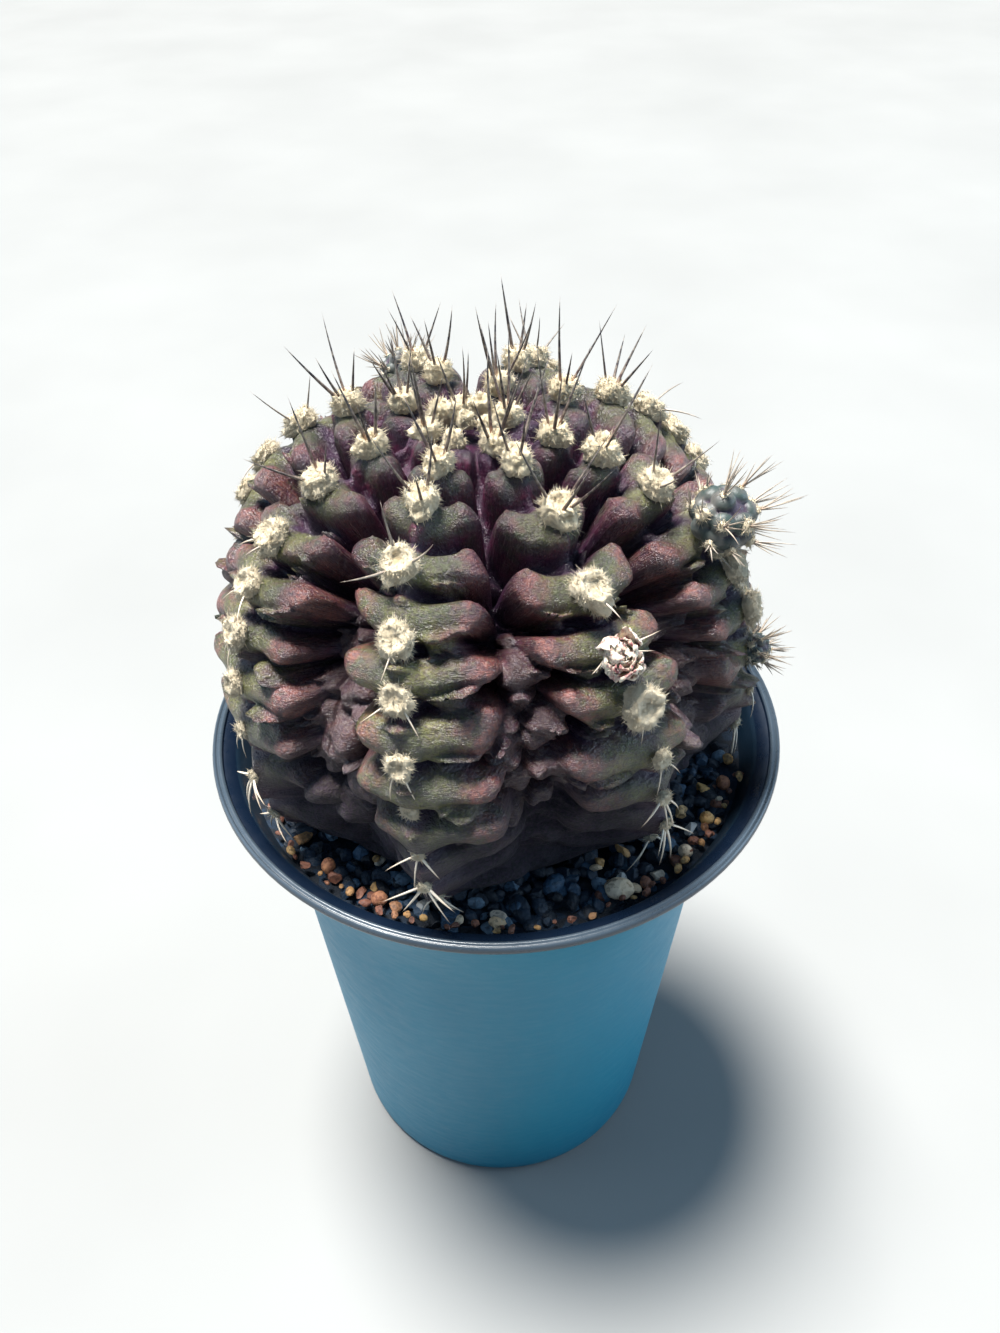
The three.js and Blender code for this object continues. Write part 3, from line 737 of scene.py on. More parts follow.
def streaks_group():
    """Fine leathery streaks along a piece's UV map, with the height of its grain."""
    inputs = {"Place": "Vector", "Streak Scale": "Float", "Pore Scale": "Float"}
    nodes, given, sink = start_group("leathery_streaks", inputs, ("Streak", "Height"))
    drawn_out = nodes.mapped(given["Place"], (1, 3.4, 1))
    along = nodes.noise(drawn_out, given["Streak Scale"], 3, 0.6, 0.4)
    pores = nodes.noise(given["Place"], given["Pore Scale"], 5, 0.62)
    nodes.feed(sink["Streak"], nodes.ramp(along, (0.5, 0), (0.66, 1)))
    nodes.feed(sink["Height"], nodes.plus(nodes.times(along, 0.65), nodes.times(pores, 0.5)))
    return nodes.tree


def speckle_group():
    """Mineral speckle: a grey mask of grains and the height of a pitted surface."""
    inputs = {"Place": "Vector", "Scale": "Float"}
    nodes, given, sink = start_group("mineral_speckle", inputs, ("Speckle", "Height"))
    grains = {"Vector": given["Place"], "Scale": given["Scale"]}
    cells = nodes.fed("ShaderNodeTexVoronoi", "Color", grains)
    grey = nodes.add("ShaderNodeSeparateColor", cells).outputs[0]
    rough = nodes.noise(given["Place"], nodes.times(given["Scale"], 0.6), 6, 0.65)
    nodes.feed(sink["Speckle"], nodes.times(grey, rough))
    nodes.feed(sink["Height"], rough)
    return nodes.tree


GROUPS = {}


def shared(name, build):
    """A shared node group, built the first time it is asked for."""
    if name not in GROUPS:
        GROUPS[name] = build()
    return GROUPS[name]


def leathery(nodes, place, streak_scale, pore_scale):
    tree = shared("streaks", streaks_group)
    return nodes.group(tree, Place=place, Streak_Scale=streak_scale, Pore_Scale=pore_scale)


def speckled(nodes, place, scale):
    return nodes.group(shared("speckle", speckle_group), Place=place, Scale=scale)


def skin_material(look):
    """Banded cactus skin: olive tops, brown roll ends, magenta young edges, purple furrows deepened
    with painted shade and an underside painted dark as shade.
    """
    nodes = start_material("banded_skin", Specular_IOR_Level=0.65, IOR=1.5)
    knob, hollow, lumpy = nodes.attribute_parts("skin_form")[1:]
    along, off, blush = nodes.attribute_parts("skin_age")[:3]
    place = nodes.add("ShaderNodeUVMap", uv_map="skin_place").outputs[0]
    space = nodes.object_place()
    wide = nodes.noise(space, 180, 4, 0.55)
    fine = nodes.noise(space, 620, 5, 0.6)
    tiny = nodes.noise(space, 2400, 4, 0.6)

    # Olive roll tops, greener at the crown, that turn brown and tan towards their ends.
    youth = nodes.ramp(along, (0.14, 1), (0.36, 0))
    green = nodes.blend(nodes.ramp(wide, (0.4, 0), (0.62, 1)), look.roll_top, look.roll_pale)
    green = nodes.blend(nodes.times(youth, 0.8), green, look.roll_young)
    end = nodes.blend(nodes.ramp(wide, (0.42, 0), (0.66, 1)), look.roll_end, look.roll_end_pale)
    end = nodes.blend(nodes.times(youth, 0.85), end, look.young_end)
    outwards = nodes.plus(nodes.plus(off, nodes.around(fine, 0.8)), nodes.around(wide, 0.6))
    outwards = nodes.minus(outwards, nodes.times(youth, 0.3))
    colour = nodes.blend(nodes.ramp(outwards, (0.3, 0), (0.62, 1)), green, end)

    # Swollen ends, lumps, furrows partly darkened as painted shade, the magenta of young skin, and
    # the underside near the grit painted near-black as shade.
    swollen = nodes.times(knob, nodes.ramp(fine, (0.42, 0), (0.58, 0.75)))
    swollen = nodes.times(swollen, nodes.ramp(along, (0.2, 0.15), (0.4, 1)))
    colour = nodes.blend(swollen, colour, look.knob)
    cobble = nodes.times(lumpy, nodes.ramp(fine, (0.36, 0.95), (0.62, 0.35)))
    colour = nodes.blend(cobble, colour, look.cobble)
    # Painted shade: skin sunk below the roll tops turns to the furrow colour. This is partly the
    # skin's own purple and partly painted shade in the grooves.
    colour = nodes.blend(nodes.ramp(hollow, (0.15, 1), (0.85, 0)), colour, look.furrow)
    patch = nodes.times(blush, nodes.ramp(fine, (0.42, 0.1), (0.6, 0.95)))
    patch = nodes.times(patch, nodes.ramp(hollow, (0.0, 0.3), (0.4, 1)))
    colour = nodes.blend(patch, colour, look.blush)
    # Painted shade: the underside near the grit turns away from the light, so it is painted
    # near-black with the foot colour and made rougher.
    under = nodes.ramp(along, (0.6, 0), (0.72, 0.92))
    under = nodes.times(under, nodes.ramp(off, (0.06, 0.1), (0.3, 1)))
    colour = nodes.blend(under, colour, look.foot)
    colour = nodes.blend(nodes.ramp(tiny, (0.42, 0.55), (0.56, 0)), colour, look.furrow)

    # Silvery streaks and the leathery grain. The streaks are partly the skin's own grain and partly
    # a painted sheen: they are brighter on what stands out and faded on the shaded underside.
    leather = leathery(nodes, place, 1.6, 1.0)
    silver_streaks_and_sheen = nodes.times(leather["Streak"], nodes.ramp(hollow, (0.3, 0.04), (0.9, 0.26)))
    silver_streaks_and_sheen = nodes.times(silver_streaks_and_sheen, nodes.minus(1.0, nodes.times(under, 0.8)))
    colour = nodes.blend(silver_streaks_and_sheen, colour, look.streak_and_sheen)
    gloss = nodes.ramp(leather["Height"], (0.35, 0.38), (0.75, 0.24))
    coarse = nodes.bump(tiny, 0.65, 0.0004, nodes.bump(fine, 0.5, 0.0007))
    normal = nodes.bump(leather["Height"], 0.9, 0.0005, coarse)
    return nodes.finish(colour, nodes.plus(gloss, nodes.times(under, 0.65)), normal)


def wool_material(look):
    """Felted wool: white with creamy young pads, dirtier at the root of each tuft."""
    nodes = start_material(
        "areole_wool",
        Roughness=0.95,
        Specular_IOR_Level=0.15,
        Sheen_Weight=0.5,
        Sheen_Roughness=0.6,
    )
    tone, height = nodes.tone_and_height()
    space = nodes.object_place()
    fluff = nodes.noise(space, 2600, 6, 0.7, 0.8)
    clump = nodes.noise(space, 900, 4, 0.6)
    strand = nodes.noise(space, 4200, 5, 0.7, 1.5)
    colour = nodes.blend(tone, look.white, look.cream)
    root = nodes.times(nodes.ramp(height, (0.0, 1), (0.42, 0)), 0.85)
    colour = nodes.blend(root, colour, look.root)
    colour = nodes.blend(nodes.ramp(clump, (0.56, 0), (0.72, 0.45)), colour, look.root)
    colour = nodes.blend(nodes.ramp(strand, (0.34, 0.45), (0.44, 0)), colour, look.root_deep)
    normal = nodes.bump(strand, 0.8, 0.0003, nodes.bump(fluff, 0.9, 0.0006))
    return nodes.finish(colour, normal=normal)


def spine_material(look):
    """Horny spines: each runs from its base colour to a dark or pale tip."""
    nodes = start_material("spine_horn", Roughness=0.42, Specular_IOR_Level=0.5)
    tone, along = nodes.tone_and_height()
    young = nodes.ramp(
        along, (0.0, look.young_base), (0.22, look.young_middle), (0.55, look.young_tip)
    )
    old = nodes.ramp(along, (0.0, look.old_base), (0.6, look.old_middle), (1.0, look.old_tip))
    rings = nodes.noise(nodes.object_place(), 1500, 3, 0.6)
    colour = nodes.blend(tone, old, young)
    colour = nodes.blend(nodes.ramp(rings, (0.4, 0), (0.7, 0.35)), colour, look.old_middle)
    return nodes.finish(colour, normal=nodes.bump(rings, 0.3, 0.0001))


def pup_material(look):
    """Skin of the small offsets: darker green with bronze shoulders."""
    nodes = start_material("pup_skin", Specular_IOR_Level=0.45, Sheen_Weight=0.1)
    space = nodes.object_place()
    wide = nodes.noise(space, 420, 4, 0.6)
    fine = nodes.noise(space, 1800, 5, 0.6)
    colour = nodes.blend(nodes.ramp(wide, (0.4, 0), (0.62, 1)), look.pup_green, look.pup_bronze)
    # The furrow colour between the warts is partly the skin's own darker tone and partly painted
    # shade in the crevices.
    pits = nodes.ramp(nodes.attribute_parts("pup_form")[0], (0.1, 0.85), (0.5, 0))
    colour = nodes.blend(pits, colour, look.furrow)
    gloss = nodes.ramp(fine, (0.3, 0.38), (0.7, 0.6))
    return nodes.finish(colour, gloss, nodes.bump(fine, 0.4, 0.0002))


def petal_material(look):
    """Dry papery petals, cream with pink edges and brown veins."""
    nodes = start_material(
        "dry_petals",
        Roughness=0.7,
        Specular_IOR_Level=0.3,
        Sheen_Weight=0.25,
        Subsurface_Weight=0.08,
        Subsurface_Scale=0.0006,
    )
    space = nodes.object_place()
    wide = nodes.noise(space, 900, 4, 0.65)
    veins = nodes.noise(nodes.mapped(space, (1, 1, 0.25)), 2600, 4, 0.6)
    colour = nodes.blend(nodes.ramp(wide, (0.46, 0), (0.62, 1)), look.petal, look.petal_pink)
    colour = nodes.blend(nodes.ramp(veins, (0.55, 0), (0.7, 0.7)), colour, look.petal_brown)
    return nodes.finish(colour, normal=nodes.bump(veins, 0.5, 0.0003))


def stone_material(name, base, dark, pale, gloss=0.7):
    """A tumbled stone of one colour with mineral speckle and darker pits."""
    nodes = start_material(name, Specular_IOR_Level=0.35)
    space = nodes.object_place()
    speckle = speckled(nodes, space, 2600)
    wide = nodes.noise(space, 420, 4, 0.6)
    colour = nodes.blend(nodes.ramp(wide, (0.35, 0), (0.7, 1)), base, pale)
    colour = nodes.blend(nodes.ramp(speckle["Speckle"], (0.3, 0), (0.5, 0.8)), colour, dark)
    roughness = nodes.ramp(speckle["Height"], (0.3, gloss - 0.12), (0.7, gloss + 0.15))
    return nodes.finish(colour, roughness, nodes.bump(speckle["Height"], 0.6, 0.0003))


def grit_material(name, black, *tones):
    """Crushed grit whose pieces each have a tone of their own, with darker speckle."""
    nodes = start_material(name, Specular_IOR_Level=0.5)
    speckle = speckled(nodes, nodes.object_place(), 2200)
    colour = nodes.ramp(nodes.tone_and_height()[0], *tones)
    colour = nodes.blend(nodes.ramp(speckle["Speckle"], (0.25, 0), (0.5, 0.6)), colour, black)
    roughness = nodes.ramp(speckle["Height"], (0.3, 0.35), (0.7, 0.75))
    return nodes.finish(colour, roughness, nodes.bump(speckle["Height"], 0.8, 0.0004))


def pot_material(look):
    """Thin moulded plastic with faint grain and scuffs and a slate lip; its teal is a painted
    reflection of blue surroundings and its inside is painted navy as shade.
    """
    nodes = start_material("pot_plastic", Specular_IOR_Level=0.5, Coat_Roughness=0.3)
    space = nodes.object_place()
    height = nodes.add("ShaderNodeSeparateXYZ", space).outputs[2]
    wide = nodes.noise(nodes.mapped(space, (1, 1, 0.35)), 45, 5, 0.6)
    grain = nodes.noise(space, 1600, 4, 0.6)
    scuff = nodes.noise(nodes.mapped(space, (1, 1, 3.5)), 260, 6, 0.7)
    # Painted reflection: the wall's teal stands for blue surroundings mirrored in darker plastic;
    # noise only varies its two tones.
    colour = nodes.blend(nodes.ramp(wide, (0.3, 0), (0.7, 1)), look.wall_reflected_teal_deep, look.wall_reflected_teal)
    colour = nodes.blend(nodes.ramp(scuff, (0.62, 0), (0.78, 0.25)), colour, look.dust)
    band = {
        "Value": height,
        "From Min": RIM_LEVEL - look.lip_depth - 0.3 * MM,
        "From Max": RIM_LEVEL - look.lip_depth,
    }
    lip = nodes.fed("ShaderNodeMapRange", 0, band)
    colour = nodes.blend(lip, colour, look.lip_colour)

    # The inside, painted near-black navy as the shade within the pot: what lies further in than the
    # wall's outer radius at its height, under the lip, and the slope down from the lip.
    flare = nodes.times(nodes.minus(height, FLARE_START * MM), 1 / (FLARE_SPAN * MM))
    flare = nodes.math("POWER", nodes.math("MAXIMUM", flare, 0), 2)
    outside = nodes.plus(nodes.times(flare, FLARE_REACH * MM), nodes.times(height, WALL_RISE))
    outside = nodes.plus(outside, POT_BASE * MM)
    level = nodes.mapped(space, (1, 1, 0))
    radius = nodes.add("ShaderNodeVectorMath", level, operation="LENGTH").outputs["Value"]
    inner = nodes.math("GREATER_THAN", nodes.minus(outside, radius), INNER_DEPTH * MM)
    inner = nodes.times(inner, nodes.math("SUBTRACT", 1.0, lip, clamp=True))
    slope = nodes.times(lip, nodes.math("LESS_THAN", radius, RIM_RADIUS - look.lip_width))
    inner = nodes.times(nodes.plus(inner, slope), 0.97)
    # Painted shade: the inner wall and the lip's inner slope take the near-black navy.
    colour = nodes.blend(inner, colour, look.inside)
    roughness = nodes.plus(nodes.ramp(scuff, (0.3, 0.42), (0.8, 0.62)), nodes.times(lip, -0.2))
    normal = nodes.bump(grain, 0.18, 0.0001, nodes.bump(wide, 0.15, 0.0008))
    return nodes.finish(colour, roughness, normal)


def soil_material(look):
    """The damp bed under the loose grit."""
    nodes = start_material("grit_bed", Roughness=0.8, Specular_IOR_Level=0.4)
    speckle = speckled(nodes, nodes.object_place(), 700)
    mask = nodes.ramp(speckle["Speckle"], (0.2, 0), (0.6, 1))
    colour = nodes.blend(mask, look.black, look.navy)
    return nodes.finish(colour, normal=nodes.bump(speckle["Height"], 0.9, 0.0012))


def floor_material(look):
    """A plain pale, faintly mottled studio floor."""
    nodes = start_material("studio_floor", Roughness=0.75, Specular_IOR_Level=0.25)
    wide = nodes.noise(nodes.object_place(), 9, 3, 0.5)
    return nodes.finish(nodes.ramp(wide, (0.3, look.floor_colour), (0.7, look.floor_pale)))


# Settings a user would change.


def length(name, description, default):
    return bpy.props.FloatProperty(
        name=name,
        description=description,
        default=default,
        min=0.0,
        precision=5,
        unit="LENGTH",
        subtype="DISTANCE",
    )


def colour(name, description, *srgb):
    return bpy.props.FloatVectorProperty(
        name=name,
        description=description,
        default=rgb(*srgb),
        size=3,
        min=0.0,
        max=1.0,
        subtype="COLOR",
    )


def amount(name, description, default):
    return bpy.props.IntProperty(name=name, description=description, default=default, min=0)


def strength(name, description, default, **kind):
    return bpy.props.FloatProperty(
        name=name, description=description, default=default, min=0.0, **kind
    )


def settings(name, description, group):
    return bpy.props.PointerProperty(name=name, description=description, type=group)


class CactusPotSettings(bpy.types.PropertyGroup):
    """Sizes and colours of the plastic pot."""

    wall: length("Wall", "Thickness of the pot's wall", 1.1 * MM)
    lip_width: length("Lip width", "Width of the beaded lip", 1.5 * MM)
    lip_depth: length("Lip depth", "Height of the beaded lip", 1.3 * MM)
    drain_radius: length("Drain hole", "Radius of each drain hole in the base", 3.0 * MM)
    # Painted reflection: these teal tones stand for blue surroundings mirrored in the pot's darker
    # plastic.
    wall_reflected_teal: colour("Wall colour", "Satin plastic of the wall", 10, 118, 144)
    wall_reflected_teal_deep: colour("Wall shade", "Deeper tone of the wall", 8, 110, 136)
    lip_colour: colour("Lip colour", "Greyer plastic of the lip", 52, 62, 71)
    # Painted shade: the inner face above the grit is painted near-black navy for the shade inside
    # the pot.
    inside: colour("Inside", "Navy inner face above the grit", 4, 16, 32)
    dust: colour("Dust", "Pale scuffs on the wall", 90, 136, 154)


class CactusSkinSettings(bpy.types.PropertyGroup):
    """Fineness and colours of the plant's skin."""

    columns: amount("Columns", "Faces across each rib", 50)
    rows: amount("Rows", "Faces from the crown to the foot", 240)
    roll_top: colour("Roll top", "Olive skin on top of the rolls", 54, 60, 30)
    roll_pale: colour("Roll light", "Paler olive patches", 102, 100, 50)
    roll_young: colour("Young roll", "Dark green-grey skin of the crown's rolls", 40, 52, 46)
    young_end: colour("Young roll end", "Purple ends of the crown's rolls", 60, 26, 50)
    roll_end: colour("Roll end", "Brown skin towards the furrows", 52, 27, 32)
    roll_end_pale: colour("Roll end light", "Tan patches towards the furrows", 86, 48, 42)
    knob: colour("Knob", "Pinkish swollen ends of the rolls", 134, 78, 66)
    cobble: colour("Cobble", "Dark brown lumps crowding the furrows", 54, 29, 31)
    # The furrow colour is partly the purple skin between rolls and partly painted shade in the
    # grooves.
    furrow: colour("Furrow", "Purple skin deep between rolls", 46, 26, 48)
    blush: colour("Blush", "Magenta skin beside the young wool", 116, 28, 68)
    # Painted shade: the foot colour is the near-black of the shaded underside near the grit.
    foot: colour("Foot", "Corky skin near the grit", 11, 8, 15)
    # Painted sheen: the streak colour is partly the skin's silvery grain and partly a painted sheen
    # on raised skin.
    streak_and_sheen: colour("Streak", "Silvery leathery streaks", 140, 132, 118)
    pup_green: colour("Offset green", "Skin of the small offsets", 44, 58, 54)
    pup_bronze: colour("Offset bronze", "Bronze skin of the offsets", 78, 76, 72)


class CactusWoolSettings(bpy.types.PropertyGroup):
    """Size and colours of the woolly areoles."""

    pad_radius: length("Pad radius", "Radius of a grown wool pad", 2.1 * MM)
    pad_height: length("Pad height", "How far a grown pad stands up", 2.2 * MM)
    fibres: amount("Fibres", "Loose fibres round each pad", 44)
    down: amount("Down", "Short hairs on each pad", 700)
    down_length: length("Down length", "Length of a short hair", 0.46 * MM)
    fibre_length: length("Fibre length", "Length of a loose fibre", 0.85 * MM)
    fibre_radius: length("Fibre radius", "Radius of a loose fibre at its root", 0.048 * MM)
    white: colour("White wool", "Grown wool", 230, 212, 178)
    cream: colour("Cream wool", "Young wool at the crown", 242, 222, 182)
    root: colour("Wool root", "Yellowish core and root of each tuft", 212, 176, 108)
    root_deep: colour("Wool shade", "Darkest strands of each tuft", 150, 124, 92)
    petal: colour("Petal", "Dried petals", 214, 202, 180)
    petal_pink: colour("Petal edge", "Pink edges of the petals", 132, 76, 76)
    petal_brown: colour("Petal vein", "Brown veins of the petals", 96, 62, 52)


class CactusSpineSettings(bpy.types.PropertyGroup):
    """Size and colours of the spines."""

    base_radius: length("Spine radius", "Radius of a spine at its base", 0.23 * MM)
    young_base: colour("Young base", "Base of the crown's spines", 176, 118, 70)
    young_middle: colour("Young middle", "Middle of the crown's spines", 78, 58, 52)
    young_tip: colour("Young tip", "Tip of the crown's spines", 34, 28, 34)
    old_base: colour("Old base", "Base of the lower spines", 226, 214, 196)
    old_middle: colour("Old middle", "Middle of the lower spines", 206, 190, 168)
    old_tip: colour("Old tip", "Tip of the lower spines", 150, 126, 106)


class CactusGritSettings(bpy.types.PropertyGroup):
    """Amount, size and colours of the grit."""

    dark_grains: amount("Dark grains", "Dark grains on the bed", 1500)
    bright_grains: amount("Coloured grains", "Orange, ochre and beige grains", 90)
    rim_grains: amount("Rim grains", "Small grains heaped against the wall at the front", 44)
    grain: length("Grain", "Half the length of a grain", 1.25 * MM)
    black: colour("Black", "Darkest grit", 9, 18, 28)
    navy: colour("Navy", "Blue-black grit", 18, 40, 60)
    slate: colour("Slate", "Blue-grey grit", 44, 78, 106)
    ash: colour("Ash", "Palest of the dark grit", 100, 122, 140)
    rust: colour("Rust", "Red-brown grains", 104, 64, 50)
    orange: colour("Orange", "Orange grains", 134, 88, 68)
    ochre: colour("Ochre", "Yellow grains", 194, 152, 92)
    beige: colour("Beige", "Pale grains", 208, 186, 156)
    grey: colour("Grey", "Grey grains", 150, 156, 158)


class CactusStageSettings(bpy.types.PropertyGroup):
    """Floor and light of the studio."""

    floor_colour: colour("Floor", "Plain pale floor", 124, 124, 122)
    floor_pale: colour("Floor light", "Lighter patches of the floor", 129, 129, 127)
    key: strength("Key", "Strength of the main light", 13.0)
    side_power: strength("Side power", "Power of the side lights", 8.0, unit="POWER")
    fill_power: strength("Fill power", "Power of the front light", 0.3, unit="POWER")
    sky: strength("Sky", "Strength of the even light", 0.36, subtype="FACTOR")


class CactusSettings(bpy.types.PropertyGroup):
    """All settings of the potted cactus."""

    pot: settings("Pot", "Sizes and colours of the pot", CactusPotSettings)
    skin: settings("Skin", "Colours of the skin", CactusSkinSettings)
    wool: settings("Wool", "Sizes and colours of the wool", CactusWoolSettings)
    spine: settings("Spines", "Sizes and colours of the spines", CactusSpineSettings)
    grit: settings("Grit", "Amount and colours of the grit", CactusGritSettings)
    stage: settings("Stage", "Floor and lights", CactusStageSettings)


# The pot.


def wall_radius(height):
    """Outer radius of the pot's wall in millimetres at a height in millimetres."""
    flare = max(0.0, (height - FLARE_START) / FLARE_SPAN)
    return POT_BASE + WALL_RISE * height + FLARE_REACH * flare * flare


def turned(name, profile, segments):
    """A closed body of revolution, extruded ring by ring from profile points in metres."""
    deselect()
    radius, level = profile[0]
    bpy.ops.mesh.primitive_circle_add(
        vertices=segments, radius=radius, fill_type="TRIFAN", location=(0, 0, level)
    )
    obj = bpy.context.object
    obj.name = name
    apply_place(obj)
    bpy.ops.object.mode_set(mode="EDIT")
    bpy.ops.mesh.select_mode(type="VERT")
    mesh = bmesh.from_edit_mesh(obj.data)
    for vertex in mesh.verts:
        vertex.select = vertex.co.xy.length > radius / 2
    mesh.select_flush_mode()
    bmesh.update_edit_mesh(obj.data)
    for next_radius, next_level in profile[1:]:
        step = (0, 0, next_level - level)
        bpy.ops.mesh.extrude_edges_move(TRANSFORM_OT_translate={"value": step})
        growth = next_radius / radius
        bpy.ops.transform.resize(value=(growth, growth, 1), center_override=(0, 0, next_level))
        radius, level = next_radius, next_level
    bpy.ops.mesh.extrude_edges_move(TRANSFORM_OT_translate={"value": (0, 0, 0)})
    bpy.ops.mesh.merge(type="COLLAPSE")
    bpy.ops.mesh.select_all(action="SELECT")
    bpy.ops.mesh.remove_doubles(threshold=1e-6)
    bpy.ops.mesh.normals_make_consistent(inside=False)
    bpy.ops.object.mode_set(mode="OBJECT")
    return obj


def pot_profile(sizes):
    """Profile of the pot in metres: under the base, up the wall, over the lip, down inside."""
    top, rim = RIM_LEVEL / MM, RIM_RADIUS / MM
    wall, foot = sizes.wall / MM, top - sizes.lip_depth / MM
    inner = rim - sizes.lip_width / MM
    points = [(20.0, 0.0), (POT_BASE - 1.6, 0.0), (POT_BASE - 1.0, 0.12), (POT_BASE - 0.35, 0.55)]
    levels = [1.4, 3, 6, 12, 20, 30, 40, 50, 60, 67, 73, 77, 80, 83, 86, 89, 92, 94.5, foot - 0.35]
    points += [(wall_radius(z), z) for z in levels]
    points += [
        (wall_radius(foot) + 0.35, foot - 0.12),
        (wall_radius(foot) + 0.8, foot),
        (rim - 0.4, foot),
        (rim - 0.1, foot + 0.15),
        (rim, foot + 0.4),
        (rim, top - 0.55),
        (rim - 0.08, top - 0.25),
        (rim - 0.24, top - 0.05),
        (rim - 0.4, top),
        (rim - 0.54, top - 0.1),
        (rim - 0.66, top - 0.24),
        (rim - 0.8, top - 0.22),
        (rim - 0.92, top - 0.07),
        (rim - 1.1, top - 0.02),
        (rim - 1.3, top - 0.1),
        (inner, top - 0.3),
        (inner - 0.15, top - 0.8),
        (wall_radius(foot) - wall + 0.15, foot + 0.1),
    ]
    inside = [foot - 1.2, 94, 91, 88, 86, 83, 80, 76, 73, 60, 40, 20, 6, POT_FLOOR + 1.2]
    points += [(wall_radius(z) - wall, z) for z in inside]
    corner = wall_radius(2) - wall
    points += [(corner - 0.4, POT_FLOOR + 0.3), (corner - 1.2, POT_FLOOR), (20.0, POT_FLOOR)]
    return [(r * MM, z * MM) for r, z in points]


class CACTUS_OT_pot(bpy.types.Operator):
    """Turns the thin pot with its beaded lip and cuts its drain holes"""

    bl_idname = "cactus.pot"
    bl_label = "Pot"

    def execute(self, context):
        sizes = context.scene.cactus.pot
        pot = turned("pot_shell", pot_profile(sizes), 128)
        deselect()
        for hole in range(DRAIN_HOLES):
            turn, reach = 2 * math.pi * hole / DRAIN_HOLES, DRAIN_CIRCLE * MM
            bpy.ops.mesh.primitive_cylinder_add(
                vertices=40,
                radius=sizes.drain_radius,
                depth=8 * POT_FLOOR * MM,
                location=(reach * math.cos(turn), reach * math.sin(turn), 0),
            )
            cutter = bpy.context.object
            apply_place(cutter)
            modifier(pot, "BOOLEAN", object=cutter, operation="DIFFERENCE", solver="EXACT")
            bpy.data.objects.remove(cutter)
        shade(pot, 50)
        settle(pot, pot_material(sizes), "pot_plastic", "pot")
        return {"FINISHED"}


# The grit: its distance inside the wall's outer radius, the grains' least distance from the
# axis and from the wall, and the limits of the grains in view, in millimetres and degrees.
SOIL_GAP = 1.45
GRAIN_START = 22.0
GRAIN_CLEARANCE = 2.5
SEEN_LIMIT = 37.4
HEAP_SIDES = (-58, 76)
HEAP_REACH = (38.2, 39.4)
HEAP_RISE = (1.1, 2.0)
GRAIN_SHAPES = 6
STONE_CUTS = 4


def soil_profile():
    """Profile of the grit's bed in metres, with the hollow that the root stands in."""
    top, foot = SOIL_LEVEL / MM, POT_FLOOR + 0.35
    points = [(12.0, foot), (wall_radius(2) - SOIL_GAP - 1.0, foot)]
    levels = [POT_FLOOR + 1.4, 20, 50, 73, 80, 86, 90, top - 0.6]
    points += [(wall_radius(z) - SOIL_GAP, z) for z in levels]
    surface = [(41.0, 0.15), (38.5, 0.1), (36.0, 0.3), (33.0, 0.6), (30.5, 1.5)]
    hollow = [(27.0, 3.0), (10.0, 7.0), (8.0, 14.0), (3.2, 40.0)]
    points += [(r, top - drop) for r, drop in surface + hollow]
    return [(r * MM, z * MM) for r, z in points]


def grain_shape(seed, cuts):
    """A crushed grain of unit size: a small ball cut by a few slanting planes."""
    grain = ball(2)
    bpy.ops.object.mode_set(mode="EDIT")
    for cut in range(cuts):
        turn, rise = 2 * math.pi * chance(seed, cut, 1), between(-1.2, 1.2, seed, cut, 2)
        flat = math.cos(rise)
        plane = Vector((math.cos(turn) * flat, math.sin(turn) * flat, math.sin(rise)))
        cut_off(plane * between(0.5, 0.8, seed, cut, 3), plane)
    bpy.ops.mesh.select_all(action="SELECT")
    bpy.ops.mesh.quads_convert_to_tris()
    bpy.ops.mesh.normals_make_consistent(inside=False)
    bpy.ops.transform.resize(value=(1.15, 0.9, 0.78))
    bpy.ops.object.mode_set(mode="OBJECT")
    points, faces = shape_of(grain)
    return points, faces, np.clip(points[:, 2] / 1.6 + 0.5, 0, 1)


def grain_matrix(turn, reach, z, size, n, salt):
    """Puts a grain at a turn round the pot and a reach and height in millimetres."""
    place = Matrix.Translation((reach * math.sin(turn) * MM, -reach * math.cos(turn) * MM, z * MM))
    heading = Matrix.Rotation(2 * math.pi * chance(n, salt, 4), 4, "Z")
    tilt = Matrix.Rotation(between(-0.8, 0.8, n, salt, 5), 4, "X")
    long, high = between(0.8, 1.3, n, salt, 6), between(0.7, 1.1, n, salt, 7)
    return place @ heading @ tilt @ Matrix.Diagonal((size * long, size, size * high, 1))


def scattered(shapes, grain, count, levels, sizes, salt, lean):
    """Stamps of seeded grains between the plant and the wall; lean favours the low tones."""
    stamps = []
    for n in range(1, count + 1):
        turn = 2 * math.pi * chance(n, salt, 1)
        level = SOIL_LEVEL / MM + between(*levels, n, salt, 3)
        widest = wall_radius(level) - GRAIN_CLEARANCE
        reach = math.sqrt(mix(GRAIN_START**2, widest**2, chance(n, salt, 2)))
        size = grain * between(*sizes, n, salt, 8)
        matrix = grain_matrix(turn, reach, level, size, n, salt)
        stamps.append((shapes[n % GRAIN_SHAPES], matrix, chance(n, salt, 9) ** lean))
    return stamps


def seen_grains(shapes, look):
    """Stamps of the coloured grains in view at the front and of those heaped at the wall."""
    top = SOIL_LEVEL / MM
    stamps = []
    for n, (x, y, tone) in enumerate(SEEN_GRAINS):
        turn, reach = math.atan2(x, -y), min(math.hypot(x, y), SEEN_LIMIT)
        size = look.grain * between(0.6, 1, n, 3)
        matrix = grain_matrix(turn, reach, top + 0.9, size, n, 3)
        stamps.append((shapes[n % GRAIN_SHAPES], matrix, tone))
    for n in range(look.rim_grains):
        turn = math.radians(mix(*HEAP_SIDES, (n + chance(n, 4, 5)) / look.rim_grains))
        reach, level = between(*HEAP_REACH, n, 4, 6), top + between(*HEAP_RISE, n, 4, 7)
        size, tone = look.grain * between(0.3, 0.6, n, 4, 8), mix(0.05, 0.6, chance(n, 4, 9))
        matrix = grain_matrix(turn, reach, level, size, n, 4)
        stamps.append((shapes[n % GRAIN_SHAPES], matrix, tone))
    return stamps


